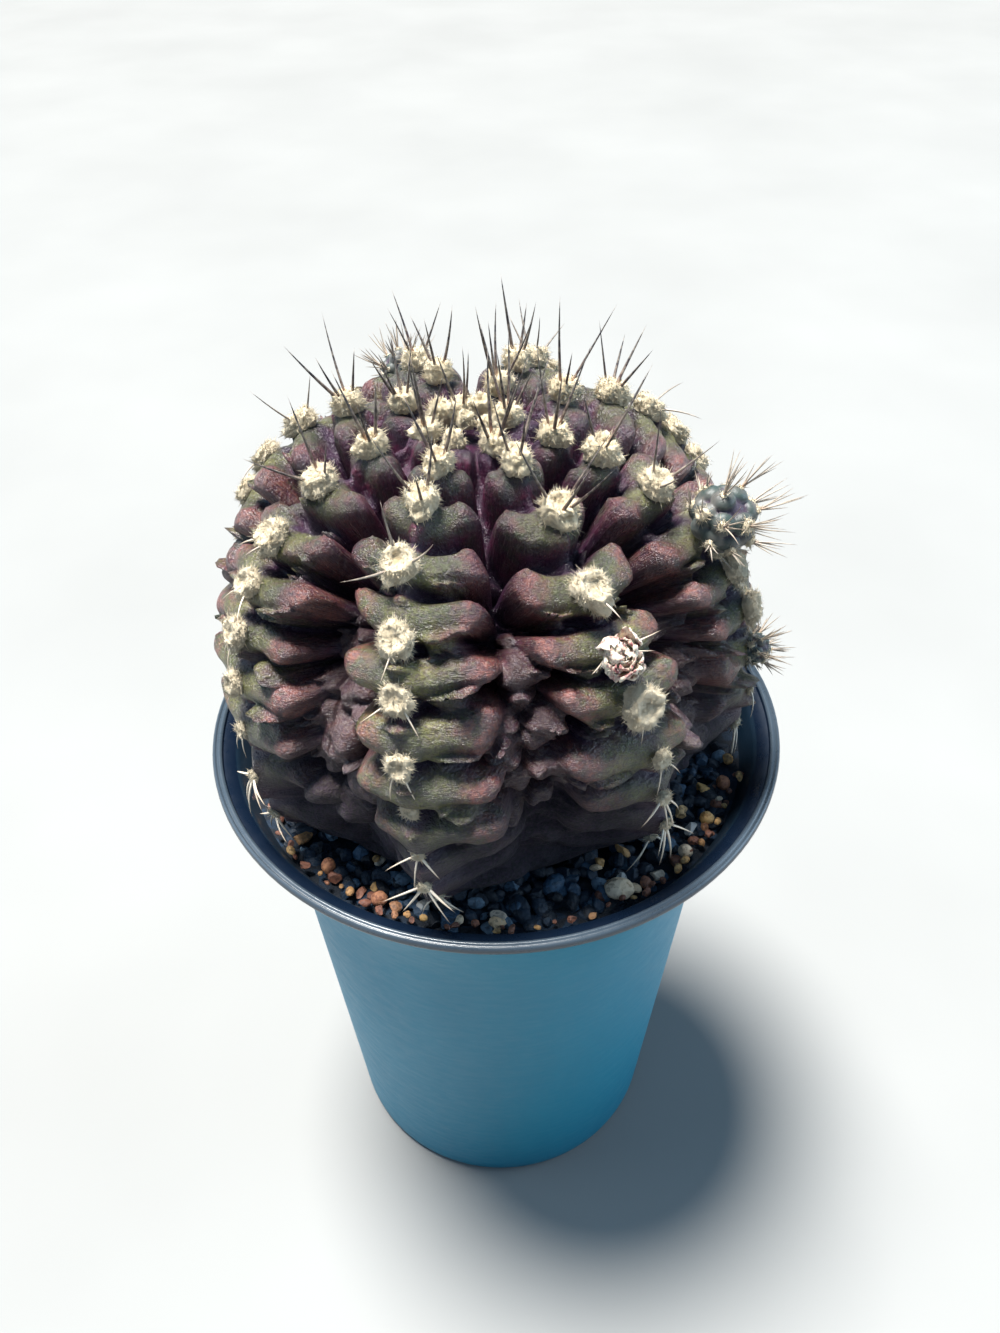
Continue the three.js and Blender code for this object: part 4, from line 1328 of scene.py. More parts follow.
class CACTUS_OT_grit(bpy.types.Operator):
    """Fills the pot with its bed of soil and scatters dark and coloured grains over it"""

    bl_idname = "cactus.grit"
    bl_label = "Grit"

    def execute(self, context):
        look = context.scene.cactus.grit
        bed = turned("grit_bed", soil_profile(), 96)
        shade(bed, 60)
        settle(bed, soil_material(look), "dark_grit", "soil")
        shapes = [grain_shape(seed, 5 + seed % 3) for seed in range(1, GRAIN_SHAPES + 1)]
        stamps = scattered(shapes, look.grain, look.dark_grains, (-0.9, 0.55), (0.6, 1.25), 1, 1.6)
        tones = ((0.0, look.black), (0.55, look.navy), (0.85, look.slate), (1.0, look.ash))
        finish = grit_material("dark_grit", look.black, *tones)
        settle(stamped("grit_dark", stamps), finish, "dark_grit")
        stamps = scattered(shapes, look.grain, look.bright_grains, (0.1, 0.9), (0.5, 1.15), 2, 1)
        tones = ((0.0, look.rust), (0.3, look.orange), (0.55, look.ochre), (0.78, look.beige))
        finish = grit_material("bright_grit", look.black, *tones, (1.0, look.grey))
        settle(stamped("grit_bright", stamps + seen_grains(shapes, look)), finish, "orange_stone")
        return {"FINISHED"}


# Coloured grains that lie in view at the front: place in millimetres and tone.
SEEN_GRAINS = [
    (-24, -30, 0.2),
    (-20, -33, 0.3),
    (-18, -34, 0.1),
    (-15, -36, 0.35),
    (-17.5, -31, 0.55),
    (-5.5, -38, 0.8),
    (0, -38.6, 0.7),
    (15, -27, 0.5),
    (21, -34, 0.75),
    (22, -32, 0.3),
    (25, -32, 0.85),
    (30, -24, 0.25),
    (32, -13, 0.55),
    (35, -17, 0.2),
    (37.6, -17, 0.8),
    (38, -7, 0.5),
    (29, -21, 1.0),
    (33, -22, 0.35),
    (27, -28, 0.15),
]

STONES = [
    ("pebble_beige", "beige_stone"),
    ("stone_orange_left", "orange_stone"),
    ("stone_orange_front", "orange_stone"),
    ("stone_ochre_right", "ochre_stone"),
    ("stone_orange_right", "orange_stone"),
    ("stone_buff_right", "beige_stone"),
    ("stone_brown_back", "orange_stone"),
    ("stone_buff_back", "beige_stone"),
]


class CACTUS_OT_stones(bpy.types.Operator):
    """Shapes each loose stone from a ball inside the place of its solid"""

    bl_idname = "cactus.stones"
    bl_label = "Stones"

    def execute(self, context):
        look = context.scene.cactus.grit
        shades = {
            "beige_stone": (look.beige, rgb(150, 124, 96), rgb(224, 208, 184)),
            "orange_stone": (look.orange, look.rust, rgb(206, 146, 104)),
            "ochre_stone": (look.ochre, rgb(140, 98, 54), rgb(214, 184, 134)),
        }
        finishes = {slot: stone_material(slot, *shades[slot]) for slot in shades}
        uneven = clouds("stone_surface", 1.1 * MM)
        for n, (node, slot) in enumerate(STONES):
            low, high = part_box(node)
            centre, half = (low + high) / 2, (high - low) / 2
            stone = ball(3, centre, half * 0.97)
            stone.name = node + "_rock"
            apply_place(stone)
            bpy.ops.object.mode_set(mode="EDIT")
            for cut in range(STONE_CUTS):
                turn = 2 * math.pi * (cut + between(0, 0.6, n, cut, 21)) / STONE_CUTS
                rise = between(-0.4, 1.1, n, cut, 22)
                plane = Vector((math.cos(turn), math.sin(turn), math.sin(rise))).normalized()
                reach = Vector((plane.x * half.x, plane.y * half.y, plane.z * half.z)).length
                cut_off(centre + plane * (reach * 0.84), plane)
            bpy.ops.object.mode_set(mode="OBJECT")
            modifier(stone, "REMESH", mode="VOXEL", voxel_size=0.16 * MM)
            modifier(stone, "SMOOTH", factor=0.5, iterations=4)
            roughen(stone, uneven, 0.28 * MM, 0.55)
            shade(stone, 60)
            settle(stone, finishes[slot], slot, node)
        return {"FINISHED"}


# The plant: the scale of the UV map across a rib, and the rings of the root under the foot,
# radius and level from the foot in millimetres.
UV_ACROSS = 16.0
ROOT_RINGS = [(7.0, -12.0), (6.0, -20.0), (3.0, -34.0)]


def skin_arrays(columns, rows):
    """Grid of skin points in metres, one column loop round all ribs, with masks and places."""
    steps = np.linspace(-1, 1, columns, endpoint=False)
    across = steps + 0.16 * np.sin(np.pi * steps) / np.pi
    levels = np.linspace(0, 1, rows + 1)[1:]
    along = CREST_LENGTH * (levels + 0.06 * np.sin(2 * np.pi * levels) / (2 * np.pi))
    a, s = np.meshgrid(across, along)
    points, marks, places = [], [], []
    for j in range(len(RIBS)):
        rib_points, masks = skin_point(j, a.ravel(), s.ravel())
        points.append(rib_points.reshape(rows, columns, 3) * MM)
        marks.append(np.stack(masks, -1).reshape(rows, columns, -1))
        places.append(np.stack([(2 * j + a) * UV_ACROSS, s], -1))
    return [np.concatenate(parts, 1) for parts in (points, marks, places)]


def grid_faces(rows, columns, top, foot):
    """Quads of a grid that closes round, with fans to a top and a foot vertex."""
    i = np.arange(rows - 1)[:, None] * columns
    k = np.arange(columns)[None, :]
    right = (k + 1) % columns
    quads = np.stack([i + k, i + columns + k, i + columns + right, i + right], -1).reshape(-1, 4)
    last = (rows - 1) * columns
    fans = [(top, a, (a + 1) % columns) for a in range(columns)]
    fans += [(foot, last + (a + 1) % columns, last + a) for a in range(columns)]
    return [tuple(q) for q in quads.tolist()] + fans


def rib_angles(places):
    """Azimuth in radians of each column at the foot."""
    angles = []
    for across in places[:, 0] / UV_ACROSS:
        j = int(math.floor((across + 1) / 2))
        angles.append(float(rib_azimuth(j, across - 2 * j, CREST_LENGTH)))
    return np.radians(angles)


class CACTUS_OT_skin(bpy.types.Operator):
    """Models the plant's rolls, furrows, chins and lumps as one closed skin"""

    bl_idname = "cactus.skin"
    bl_label = "Skin"

    def execute(self, context):
        look = context.scene.cactus.skin
        points, marks, places = skin_arrays(look.columns, look.rows)
        rows, columns = points.shape[:2]
        turn = rib_angles(places[-1])
        rings = []
        for r, drop in ROOT_RINGS:
            level = np.full(columns, WIDEST_LEVEL - FOOT_DROP + drop)
            ring = [PLANT_X + r * np.sin(turn), -r * np.cos(turn), level]
            rings.append(np.stack(ring, -1) * MM)
        points = np.concatenate([points, np.array(rings)], 0)
        crown, tip = points[0].mean(0), points[-1].mean(0) - [0, 0, 2 * MM]
        everything = np.concatenate([points.reshape(-1, 3), [crown, tip]])
        count = len(everything)
        faces = grid_faces(rows + len(rings), columns, count - 2, count - 1)
        plant = new_object("plant_skin", everything, faces)
        store_masks(plant, marks, places, columns)
        settle(smoothed(plant), skin_material(look), "cactus_skin", "cactus_body")
        return {"FINISHED"}


def store_masks(obj, marks, places, columns):
    """Writes the skin's masks as colour attributes and its place as a UV map."""
    dome, knob, hollow, lumpy, chin = np.moveaxis(marks, -1, 0)
    along = places[..., 1]
    off = np.abs((places[..., 0] / UV_ACROSS + 1) % 2 - 1)
    young = 1 - smooth(along, 6, 36)
    rim = np.clip(1 - np.abs(dome - 0.3) / 0.3, 0, 1) * (1 - smooth(along, 40, 75))
    blush = np.clip(young**2 * (0.2 + 0.8 * (1 - dome)) + 0.6 * chin + 0.35 * rim, 0, 1)
    form = np.stack([dome, knob, hollow, lumpy], -1)
    age = np.stack([along / CREST_LENGTH, off, blush, chin], -1)
    extra = len(ROOT_RINGS)
    for name, values in (("skin_form", form), ("skin_age", age)):
        flat = values.reshape(-1, 4)
        root = np.repeat(flat[-columns:], extra, 0)
        layer = obj.data.color_attributes.new(name, "FLOAT_COLOR", "POINT")
        layer.data.foreach_set("color", np.concatenate([flat, root, flat[:1], flat[-1:]]).ravel())
    flat = places.reshape(-1, 2)
    root = np.tile(flat[-columns:], (extra, 1))
    write_uv(obj, "skin_place", np.concatenate([flat, root, flat[:1], flat[-1:]]))


# Wool and spines. Pads are shaped apart from each other, so that each has its own lumps; the
# angle is the turn from one wart or petal to the next.
PAD_SPACING = np.array([3.7, 1.9, 0])
CRATERS = (0.3, 0.55, 0.45, 0.62, 0.4)
SPIRAL_TURN = 2.39996
WARTS = 32
WOOLLY_WARTS = 20
PETALS = 26


def areoles():
    """Every wool pad on the ribs: rib, number, distance from the crown, size."""
    taken = {(row[1], row[2]) for row in PUPS + [REMNANT]}
    pads = []
    for j, (_, _, _, places) in enumerate(RIBS):
        for i, along in enumerate(places):
            if (j, i) in taken:
                continue
            size = mix(0.86, 1, float(smooth(along, 5, 20)))
            size *= mix(1, 0.42, float(smooth(along, 46, 66))) * PAD_SIZES.get((j, i), 1)
            pads.append((j, i, along, size * between(0.92, 1.08, j, i, 31)))
    return pads


def young_frame(azimuth, along):
    """The frame of a young areole by the growing point, upright on the dipped crown."""
    radius, level, _, _ = outline_at(np.array([float(along)]))
    turn = math.radians(azimuth)
    lean = Matrix.Rotation(0.25, 4, (-math.cos(turn), -math.sin(turn), 0))
    spot = (PLANT_X + radius[0] * math.sin(turn), -radius[0] * math.cos(turn), level[0] - 1.6)
    return Matrix.Translation(Vector(spot) * MM) @ lean


def pad_shape(seed, crater, fineness):
    """A drum of felted wool of unit radius, lumpy, with or without a hollow top."""
    pad = ball(fineness)
    points = vertices_of(pad.data)
    side = np.hypot(points[:, 0], points[:, 1])
    squarer = 1 / np.maximum(side, np.abs(points[:, 2])) ** 0.45
    points *= squarer[:, None] ** 0.8
    turn = np.arctan2(points[:, 1], points[:, 0])
    points[:, :2] *= (1 + 0.08 * np.sin(3 * turn + seed) + 0.05 * np.sin(7 * turn - seed))[:, None]
    side = np.hypot(points[:, 0], points[:, 1])
    hollow = crater * np.exp(-((side / 0.46) ** 3)) * (points[:, 2] > 0)
    points[:, 2] -= hollow
    points[:, 2] += 0.25 * np.exp(-(((side - 0.8) / 0.2) ** 2)) * (points[:, 2] > 0)
    tongue = np.maximum(0, points[:, 0]) ** 2 * (points[:, 2] < 0.3)
    points[:, 0] += 0.34 * tongue
    pad.data.vertices.foreach_set("co", points.ravel())
    pad.location = seed * PAD_SPACING
    apply_place(pad)
    roughen(pad, clouds("wool_clumps", 0.42), 0.36)
    roughen(pad, clouds("wool_strands", 0.14, 3), 0.4)
    shape, faces = shape_of(pad)
    shape = shape - seed * PAD_SPACING
    return shape, faces, np.clip(shape[:, 2] * 0.3 + 0.72 - 1.1 * hollow, 0, 1)


def tubes(name, paths, radii, tones, sides, tapers, lows=0.0, rise=1.0):
    """One object of many thin tapering tubes along paths, an array of points in metres.

    The height in the UV map runs from lows at each root up by rise.
    """
    count, steps = paths.shape[:2]
    tangent = unit(np.gradient(paths, axis=1))
    guide = np.where(np.abs(tangent[:, :1, 2:]) > 0.8, [[[1.0, 0, 0]]], [[[0, 0, 1.0]]])
    aside = unit(np.cross(tangent, guide))
    up = np.cross(aside, tangent)
    turn = 2 * np.pi * np.arange(sides) / sides
    ring = aside[:, :, None] * np.cos(turn)[:, None] + up[:, :, None] * np.sin(turn)[:, None]
    rings = paths[:, :, None] + ring * (radii[:, None] * np.array(tapers))[:, :, None, None]
    body = rings[:, :-1].reshape(count, -1, 3)
    points = np.concatenate([body, paths[:, -1:]], 1)
    each = points.shape[1]
    faces = []
    for step in range(steps - 2):
        for k in range(sides):
            a, b = step * sides + k, step * sides + (k + 1) % sides
            faces += [(a, b, b + sides), (a, b + sides, a + sides)]
    last = (steps - 2) * sides
    faces += [(last + k, last + (k + 1) % sides, each - 1) for k in range(sides)]
    faces += [(0, k + 1, k) for k in range(1, sides - 1)]
    faces = (np.array(faces)[None] + each * np.arange(count)[:, None, None]).reshape(-1, 3)
    obj = new_object(name, points.reshape(-1, 3), faces)
    height = np.append(np.repeat(np.linspace(0, 1, steps)[:-1], sides), 1.0)
    heights = np.clip(np.reshape(lows, (-1, 1)) + rise * height, 0, 1)
    heights = np.broadcast_to(heights, (count, each)).ravel()
    write_uv(obj, "tone_and_height", np.stack([np.repeat(tones, each), heights], 1))
    return smoothed(obj)


def turned_to(direction):
    """A matrix that turns the upright axis to a direction."""
    return Vector((0, 0, 1)).rotation_difference(direction).to_matrix().to_4x4()


def pup_matrix(rib, place, radius, stand_off):
    """Puts a small offset of unit radius on its crest, growing outwards and up."""
    here = crest_frame(rib, RIBS[rib][3][place])
    out = here.to_3x3().col[2]
    grow = (out + Vector((out.x, 0, 0.3))).normalized()
    centre = here.translation + out * radius * stand_off * MM
    return Matrix.Translation(centre) @ turned_to(grow) @ Matrix.Scale(radius * MM, 4)


def pup_warts(count=WOOLLY_WARTS):
    """Directions of an offset's warts in a spiral from its tip."""
    warts = []
    for k in range(count):
        polar, turn = 0.5 * math.sqrt(k + 0.3), k * SPIRAL_TURN
        if polar < 2.3:
            flat = math.sin(polar)
            warts.append(Vector((flat * math.cos(turn), flat * math.sin(turn), math.cos(polar))))
    return warts


class CACTUS_OT_offsets(bpy.types.Operator):
    """Models the small warty offsets that grow out of three areoles"""

    bl_idname = "cactus.offsets"
    bl_label = "Offsets"

    def execute(self, context):
        finish = pup_material(context.scene.cactus.skin)
        warts = np.array(pup_warts(WARTS))
        for node, rib, place, radius, stand_off in PUPS:
            pup = ball(5)
            pup.name = node + "_head"
            points = vertices_of(pup.data)
            away = np.arccos(np.clip(points @ warts.T, -1, 1)).min(1)
            dome = np.sqrt(np.maximum(0, 1 - (away / 0.44) ** 2))
            points *= (0.76 + 0.24 * dome)[:, None]
            pup.data.vertices.foreach_set("co", points.ravel())
            layer = pup.data.color_attributes.new("pup_form", "FLOAT_COLOR", "POINT")
            layer.data.foreach_set("color", np.repeat(dome, 4).ravel())
            pup.data.transform(pup_matrix(rib, place, radius, stand_off))
            settle(smoothed(pup), finish, "pup_skin", node)
        return {"FINISHED"}


def rib_pads(look, shapes):
    """Stamps of the pads on the ribs and the crown, with the place where each one's fibres root."""
    stamps, roots = [], []
    for j, i, along, size in areoles():
        stand = areole_frame(j, i)
        if stand.translation.z < SOIL_LEVEL + 0.5 * MM:
            continue
        radius = look.pad_radius * size
        height = look.pad_height * size * mix(1.25, 0.85, float(smooth(along, 14, 40)))
        turn = Matrix.Rotation(between(-0.5, 0.5, j, i, 32), 4, "Z")
        place = stand @ Matrix.Translation((0, 0, height * 0.42)) @ turn
        width = radius * between(0.88, 1, j, i, 33)
        matrix = place @ Matrix.Diagonal((radius, width, height * 0.62, 1))
        cream = 1 - smooth(along, 12, 44) + between(-0.2, 0.2, j, i, 34)
        cream = float(np.clip(cream, 0, 1))
        stamps.append((shapes[(3 * j + i) % 5], matrix, cream))
        roots.append((place, radius, height, cream))
    for n, (azimuth, along, size) in enumerate(YOUNG_AREOLES):
        place = young_frame(azimuth, along)
        radius, height = look.pad_radius * size, look.pad_height * 1.5 * size
        matrix = place @ Matrix.Diagonal((radius, radius, height * 0.7, 1))
        stamps.append((shapes[n % 5], matrix, 0.9))
        roots.append((place, radius, height, 0.9))
    return stamps, roots


def offset_pads(shapes):
    """Stamps of the small pads on the offsets' warts."""
    stamps = []
    for _, rib, place, radius, stand_off in PUPS:
        base = pup_matrix(rib, place, radius, stand_off)
        for k, wart in enumerate(pup_warts()):
            spot = base @ Matrix.Translation(wart * 0.98) @ turned_to(wart)
            size = between(0.08, 0.2, rib, k, 35)
            matrix = spot @ Matrix.Diagonal((size, size, size * 0.7, 1))
            stamps.append((shapes[k % 2], matrix, 0.35))
    return stamps


def wool_fibres(roots, look, rng):
    """Loose fibres that curl out of the sides of the pads."""
    paths, radii, tones = [], [], []
    steps = np.linspace(0, 1, 4)[:, None]
    for place, radius, height, cream in roots:
        number = max(30, int(look.fibres * radius / look.pad_radius))
        turn = rng.uniform(0, 2 * np.pi, number)
        rise = rng.uniform(-0.45, 0.75, number)
        flat = np.cos(rise)
        out = np.stack([np.cos(turn) * flat, np.sin(turn) * flat, np.sin(rise)], 1)
        start = out * [radius, radius, height * 0.62]
        swirl = unit(np.cross(out, rng.normal(size=(number, 3))))
        lean = unit(out * rng.uniform(0.1, 0.8, (number, 1)) + swirl)
        reach = look.fibre_length * rng.uniform(0.4, 1.1, (number, 1)) * radius / look.pad_radius
        middle = start + lean * reach * 0.55
        end = start + lean * reach + rng.normal(size=(number, 3)) * reach * 0.28
        path = start[:, None] * 0.94 * (1 - steps) ** 2
        path = path + 2 * middle[:, None] * steps * (1 - steps) + end[:, None] * steps**2
        paths.append(placed(path, place))
        radii.append(look.fibre_radius * rng.uniform(0.6, 1.3, number))
        tones.append(np.full(number, cream))
    paths, radii, tones = (np.concatenate(part) for part in (paths, radii, tones))
    return tubes("wool_fibres", paths, radii, tones, 3, (1.0, 0.9, 0.6, 0.0), 0.6, 0.4)


def wool_down(stamps, look, rng):
    """Short hairs that stand all over the wool pads."""
    paths, radii, tones, roots = [], [], [], []
    for (points, _, marks), matrix, tone in stamps:
        radius = np.linalg.norm(np.array(matrix)[:3, 0])
        number = int(look.down * min(1.2, radius / look.pad_radius) ** 2)
        picked = rng.choice(np.nonzero((points[:, 2] > -0.5) & (marks > 0.45))[0], number)
        start = points[picked]
        out = unit(start)
        lean = out + rng.normal(size=out.shape) * 0.75
        reach = look.down_length * rng.uniform(0.4, 1.2, (number, 1)) / radius
        paths.append(placed(np.stack([start - out * 0.05, start + lean * reach], 1), matrix))
        radii.append(look.fibre_radius * rng.uniform(0.8, 1.5, number))
        tones.append(np.full(number, tone))
        roots.append(marks[picked])
    paths, radii, tones, roots = (np.concatenate(part) for part in (paths, radii, tones, roots))
    return tubes("wool_down", paths, radii, tones, 3, (1.0, 0.0), roots, 0.25)


class CACTUS_OT_wool(bpy.types.Operator):
    """Sets a felted pad with loose fibres on every areole"""

    bl_idname = "cactus.wool"
    bl_label = "Wool"

    def execute(self, context):
        look = context.scene.cactus.wool
        finish = wool_material(look)
        shapes = [pad_shape(seed, CRATERS[seed % 5], 4) for seed in range(1, 6)]
        stamps, roots = rib_pads(look, shapes)
        stamps += offset_pads([pad_shape(seed, 0.0, 3) for seed in (6, 7)])
        rng = np.random.default_rng(7)
        settle(smoothed(stamped("areole_wool", stamps)), finish, "cactus_skin")
        settle(wool_fibres(roots, look, rng), finish, "cactus_skin")
        settle(wool_down(stamps, look, rng), finish, "cactus_skin")
        return {"FINISHED"}


def spine_path(start, direction, droop, span, steps=8):
    """Points of a spine that leaves start and bends by droop, a vector, over its span."""
    t = np.linspace(0, 1, steps)[:, None]
    return np.array(start) + np.array(direction) * span * t + np.array(droop) * span * t**2


def rib_spines(look):
    """Path, radius and tone of each spine on the ribs."""
    for j, i, along, size in areoles():
        stand = areole_frame(j, i)
        if stand.translation.z < SOIL_LEVEL + 0.3 * MM:
            continue
        crown = 1 - float(smooth(along, 16, 42))
        foot = float(smooth(along, 58, 72))
        count = max(0, round(1.1 + 2.4 * crown + 3.4 * foot + between(-0.9, 0.9, j, i, 41)))
        down, aside, out = stand.to_3x3().col
        for k in range(count):
            spread = (k + 0.5) / count - 0.5
            heading = spread * mix(2.4, 3.4, foot) + between(-0.35, 0.35, j, i, k, 42)
            if crown > 0.5 and k < 3:
                heading = 2 * math.pi * (k / 3 + chance(j, i, 43))
            tilt = mix(mix(66, 58, foot), 22, crown) + between(-10, 10, j, i, k + 44)
            tilt = math.radians(tilt)
            span = mix(mix(4.0, 5.4, foot), 10.0, crown) * between(0.72, 1.2, j, i, k + 50) * MM
            flat = down * math.cos(heading) + aside * math.sin(heading)
            direction = out * math.cos(tilt) + flat * math.sin(tilt)
            start = stand.translation + flat * 0.9 * MM * size * (1 - 0.5 * crown)
            start = start + out * 0.9 * MM * size
            bend = mix(0.3, 0.1, crown) * between(0.3, 1.3, j, i, k + 65)
            droop = -out * bend + Vector((0, 0, -1)) * bend * (1 - crown)
            droop = droop + aside * between(-0.3, 0.3, j, i, k + 66)
            if crown > 0.5:
                droop = (aside * between(-1, 1, j, i, k + 60) + Vector((0, 0, 1))) * 0.12
            thick = mix(mix(0.55, 0.8, foot), 1.0, crown) * between(0.8, 1.2, j, i, k + 70)
            tone = float(np.clip(crown * 1.3 + between(-0.15, 0.1, j, i, k + 80), 0, 1))
            yield spine_path(start, direction, droop, span), look.base_radius * thick, tone


def offset_spines(look):
    """Path, radius and tone of each spine on the small offsets, crowded at the tip."""
    for n, (_, rib, place, radius, stand_off) in enumerate(PUPS):
        base = pup_matrix(rib, place, radius, stand_off)
        axis = (base.to_3x3() @ Vector((0, 0, 1))).normalized()
        for k, wart in enumerate(pup_warts()):
            out = (base.to_3x3() @ wart).normalized()
            start = base @ wart
            side = out.orthogonal().normalized()
            other = out.cross(side)
            number, grown = (6, 1) if k < 9 else (3, 0.5)
            for s in range(number):
                turn = 2 * math.pi * (s / 5 + chance(n, k, 90))
                lean = side * math.cos(turn) + other * math.sin(turn)
                direction = (out + lean * 0.4 + axis * 0.7).normalized()
                span = min(radius, 4) * between(0.9, 1.7, n, k, s + 91) * MM * grown
                droop = lean * between(-0.15, 0.15, n, k, s + 95) - direction * 0.02
                path, tone = spine_path(start, direction, droop, span), (0.45, 0.75, n, k, s + 97)
                yield path, look.base_radius * 0.52, between(*tone)


def flower_spines(look):
    """Path, radius and tone of the thin spines beside the dried flower."""
    stand = areole_frame(*REMNANT[1:3])
    down, aside, out = stand.to_3x3().col
    for heading, span in FLOWER_SPINES:
        flat = down * math.cos(heading) + aside * math.sin(heading)
        direction = (flat + out * 0.45).normalized()
        path = spine_path(stand.translation + flat * MM, direction, -out * 0.25, span * MM)
        yield path, look.base_radius * 0.6, 0.1


class CACTUS_OT_spines(bpy.types.Operator):
    """Grows the spines: dark and upright at the crown, pale and curved down lower"""

    bl_idname = "cactus.spines"
    bl_label = "Spines"

    def execute(self, context):
        look = context.scene.cactus.spine
        grown = [*rib_spines(look), *offset_spines(look), *flower_spines(look)]
        paths, radii, tones = (np.array(part) for part in zip(*grown))
        tapers = (1.0, 0.97, 0.9, 0.8, 0.66, 0.5, 0.3, 0.0)
        spines = tubes("spines", paths, radii, tones, 5, tapers)
        settle(spines, spine_material(look), "cactus_skin")
        return {"FINISHED"}


def petal_shape():
    """One dry petal of unit length that curls up towards its tip."""
    deselect()
    bpy.ops.mesh.primitive_grid_add(
        x_subdivisions=7, y_subdivisions=5, size=2.0, location=(0, 0, 0)
    )
    petal = bpy.context.object
    points = vertices_of(petal.data)
    length_way = (points[:, 0] + 1) / 2
    width = 0.42 * np.sin(np.pi * np.clip(length_way * 0.86 + 0.12, 0, 1)) ** 0.6
    curl = length_way * 1.9
    reach = 0.2 + 0.9 * np.sin(curl) / 1.9 * 1.4
    rise = 0.75 * (1 - np.cos(curl)) / 1.9 * 1.5 - 0.12 * np.cos(points[:, 1] * 3)
    points = np.stack([reach, points[:, 1] * width, rise], 1)
    petal.data.vertices.foreach_set("co", points.ravel())
    modifier(petal, "SOLIDIFY", thickness=0.05, offset=0)
    shape, faces = shape_of(petal)
    return shape, faces, np.clip(shape[:, 2], 0, 1)


class CACTUS_OT_flower(bpy.types.Operator):
    """Crumples the dried flower that sits on one areole"""

    bl_idname = "cactus.flower"
    bl_label = "Dried flower"

    def execute(self, context):
        node, rib, place, radius = REMNANT
        base = areole_frame(rib, place) @ Matrix.Translation((0, 0, 0.5 * MM))
        shape = petal_shape()
        stamps = []
        for n in range(PETALS):
            ring = n // 9
            turn = Matrix.Rotation(n * SPIRAL_TURN + between(-0.2, 0.2, n, 101), 4, "Z")
            tilt = Matrix.Rotation(-between(0.1, 0.5, n, 102) - 0.4 * ring, 4, "Y")
            twist = Matrix.Rotation(between(-0.5, 0.5, n, 103), 4, "X")
            size = radius * MM * mix(1.25, 0.8, ring / 2) * between(0.8, 1.15, n, 104)
            stamps.append((shape, base @ turn @ tilt @ twist @ Matrix.Scale(size, 4), 0.5))
        flower = stamped("dried_flower", stamps)
        roughen(flower, clouds("petal_crumple", 0.8 * MM), 1.3 * MM)
        settle(smoothed(flower), petal_material(context.scene.cactus.wool), "dry_flower", node)
        return {"FINISHED"}


# The studio: the camera in metres and radians, and the colours and aims of the lights.
CAMERA_PLACE = (0.00093, -0.12787, 0.22199)
CAMERA_PITCH = 0.72542
CAMERA_HEADING = -0.0013
CAMERA_ROLL = -0.0133
SENSOR_WIDTH = 36
CAMERA_LENS = 1100 / 1333 * SENSOR_WIDTH
WARM = (1.0, 0.99, 0.965)
COOL = (0.62, 0.82, 1.0)
PALE_BLUE = (0.8, 0.9, 1.0)
SKY_BLUE = (0.36, 0.64, 1.0, 1)
BACKDROP = (0.74, 0.8, 0.84, 1)


def add_camera():
    """The camera at the photograph's viewpoint."""
    pitch, heading, roll = CAMERA_PITCH, CAMERA_HEADING, CAMERA_ROLL
    ahead = Vector(
        (math.sin(heading) * math.cos(pitch), math.cos(heading) * math.cos(pitch), -math.sin(pitch))
    )
    level = ahead.cross(Vector((0, 0, 1))).normalized()
    rise = level.cross(ahead)
    right = math.cos(roll) * level + math.sin(roll) * rise
    up = -math.sin(roll) * level + math.cos(roll) * rise
    turn = Matrix((right, up, -ahead)).transposed().to_4x4()
    data = bpy.data.cameras.new("camera")
    data.lens = CAMERA_LENS
    data.sensor_width = SENSOR_WIDTH
    data.clip_start = 0.005
    camera = bpy.data.objects.new("camera", data)
    camera.matrix_world = Matrix.Translation(CAMERA_PLACE) @ turn
    bpy.context.scene.collection.objects.link(camera)
    bpy.context.scene.camera = camera


def add_light(kind, name, place, target, size, power, tint):
    """A soft light that looks at target: a disk of some size, or a sun of some angle."""
    data = bpy.data.lights.new(name, kind)
    if kind == "AREA":
        data.shape = "DISK"
        data.size = size
    else:
        data.angle = size
    data.energy = power
    data.color = tint
    light = bpy.data.objects.new(name, data)
    aim = (Vector(target) - Vector(place)).to_track_quat("-Z", "Y")
    light.matrix_world = Matrix.Translation(place) @ aim.to_matrix().to_4x4()
    bpy.context.scene.collection.objects.link(light)


def add_sky(strength):
    """An even pale backdrop, and a bluer and dimmer even light from all round."""
    world = bpy.data.worlds.new("studio")
    world.use_nodes = True
    nodes, links = world.node_tree.nodes, world.node_tree.links
    sky = nodes["Background"]
    sky.inputs["Color"].default_value = SKY_BLUE
    sky.inputs["Strength"].default_value = strength
    backdrop = nodes.new("ShaderNodeBackground")
    backdrop.inputs["Color"].default_value = BACKDROP
    path, either = nodes.new("ShaderNodeLightPath"), nodes.new("ShaderNodeMixShader")
    links.new(path.outputs["Is Camera Ray"], either.inputs[0])
    links.new(sky.outputs[0], either.inputs[1])
    links.new(backdrop.outputs[0], either.inputs[2])
    links.new(either.outputs[0], nodes["World Output"].inputs["Surface"])
    bpy.context.scene.world = world


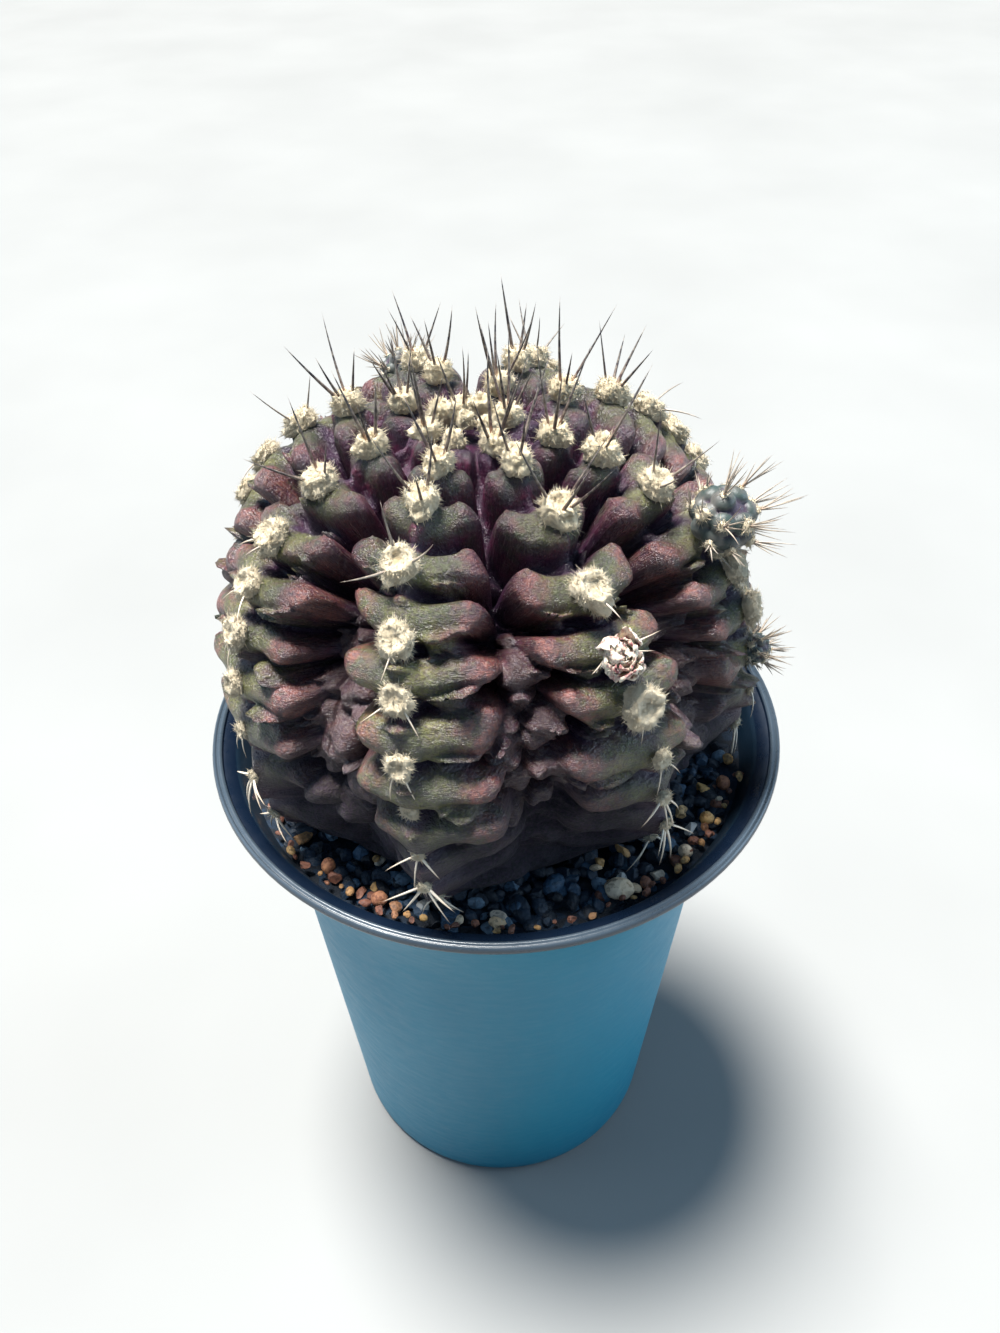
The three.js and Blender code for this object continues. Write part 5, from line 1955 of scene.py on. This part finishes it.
class CACTUS_OT_stage(bpy.types.Operator):
    """Lays the pale floor and sets the soft lights and the camera"""

    bl_idname = "cactus.stage"
    bl_label = "Stage"

    def execute(self, context):
        look = context.scene.cactus.stage
        deselect()
        bpy.ops.mesh.primitive_plane_add(size=6, location=(0, 0, 0))
        floor = bpy.context.object
        floor.name = "studio_floor"
        floor.data.materials.append(floor_material(look))
        side = look.side_power
        for light in (
            ("SUN", "key_light", (-0.1, 0.07, 0.6), (0, 0, 0.11), 0.36, look.key, WARM),
            ("AREA", "right_light", (1.1, 0.04, 0.5), (0, 0, 0.1), 0.8, side, COOL),
            ("AREA", "left_light", (-1.1, 0.04, 0.4), (0, 0, 0.1), 0.8, side * 0.5, COOL),
            ("AREA", "fill_light", (0.3, -0.6, 0.5), (0, 0, 0.08), 0.6, look.fill_power, PALE_BLUE),
        ):
            add_light(*light)
        context.scene.view_settings.view_transform = "Standard"
        add_sky(look.sky)
        add_camera()
        return {"FINISHED"}


class CACTUS_PT_sidebar(bpy.types.Panel):
    """Lists the steps that dress the cactus"""

    bl_label = "Cactus"
    bl_idname = "CACTUS_PT_sidebar"
    bl_space_type = "VIEW_3D"
    bl_region_type = "UI"
    bl_category = "Cactus"

    def draw(self, context):
        for step in STEPS:
            self.layout.operator(step.bl_idname)


STEPS = (
    CACTUS_OT_skin,
    CACTUS_OT_offsets,
    CACTUS_OT_wool,
    CACTUS_OT_spines,
    CACTUS_OT_flower,
    CACTUS_OT_pot,
    CACTUS_OT_grit,
    CACTUS_OT_stones,
    CACTUS_OT_stage,
)
SETTINGS = (
    CactusPotSettings,
    CactusSkinSettings,
    CactusWoolSettings,
    CactusSpineSettings,
    CactusGritSettings,
    CactusStageSettings,
    CactusSettings,
)


def register():
    for cls in (*SETTINGS, *STEPS, CACTUS_PT_sidebar):
        bpy.utils.register_class(cls)
    bpy.types.Scene.cactus = bpy.props.PointerProperty(
        name="Cactus", description="Settings of the potted cactus", type=CactusSettings
    )


def unregister():
    del bpy.types.Scene.cactus
    for cls in reversed((*SETTINGS, *STEPS, CACTUS_PT_sidebar)):
        bpy.utils.unregister_class(cls)


def main():
    register()
    for step in STEPS:
        getattr(bpy.ops.cactus, step.bl_idname.split(".")[1])()


if __name__ == "__main__":
    main()
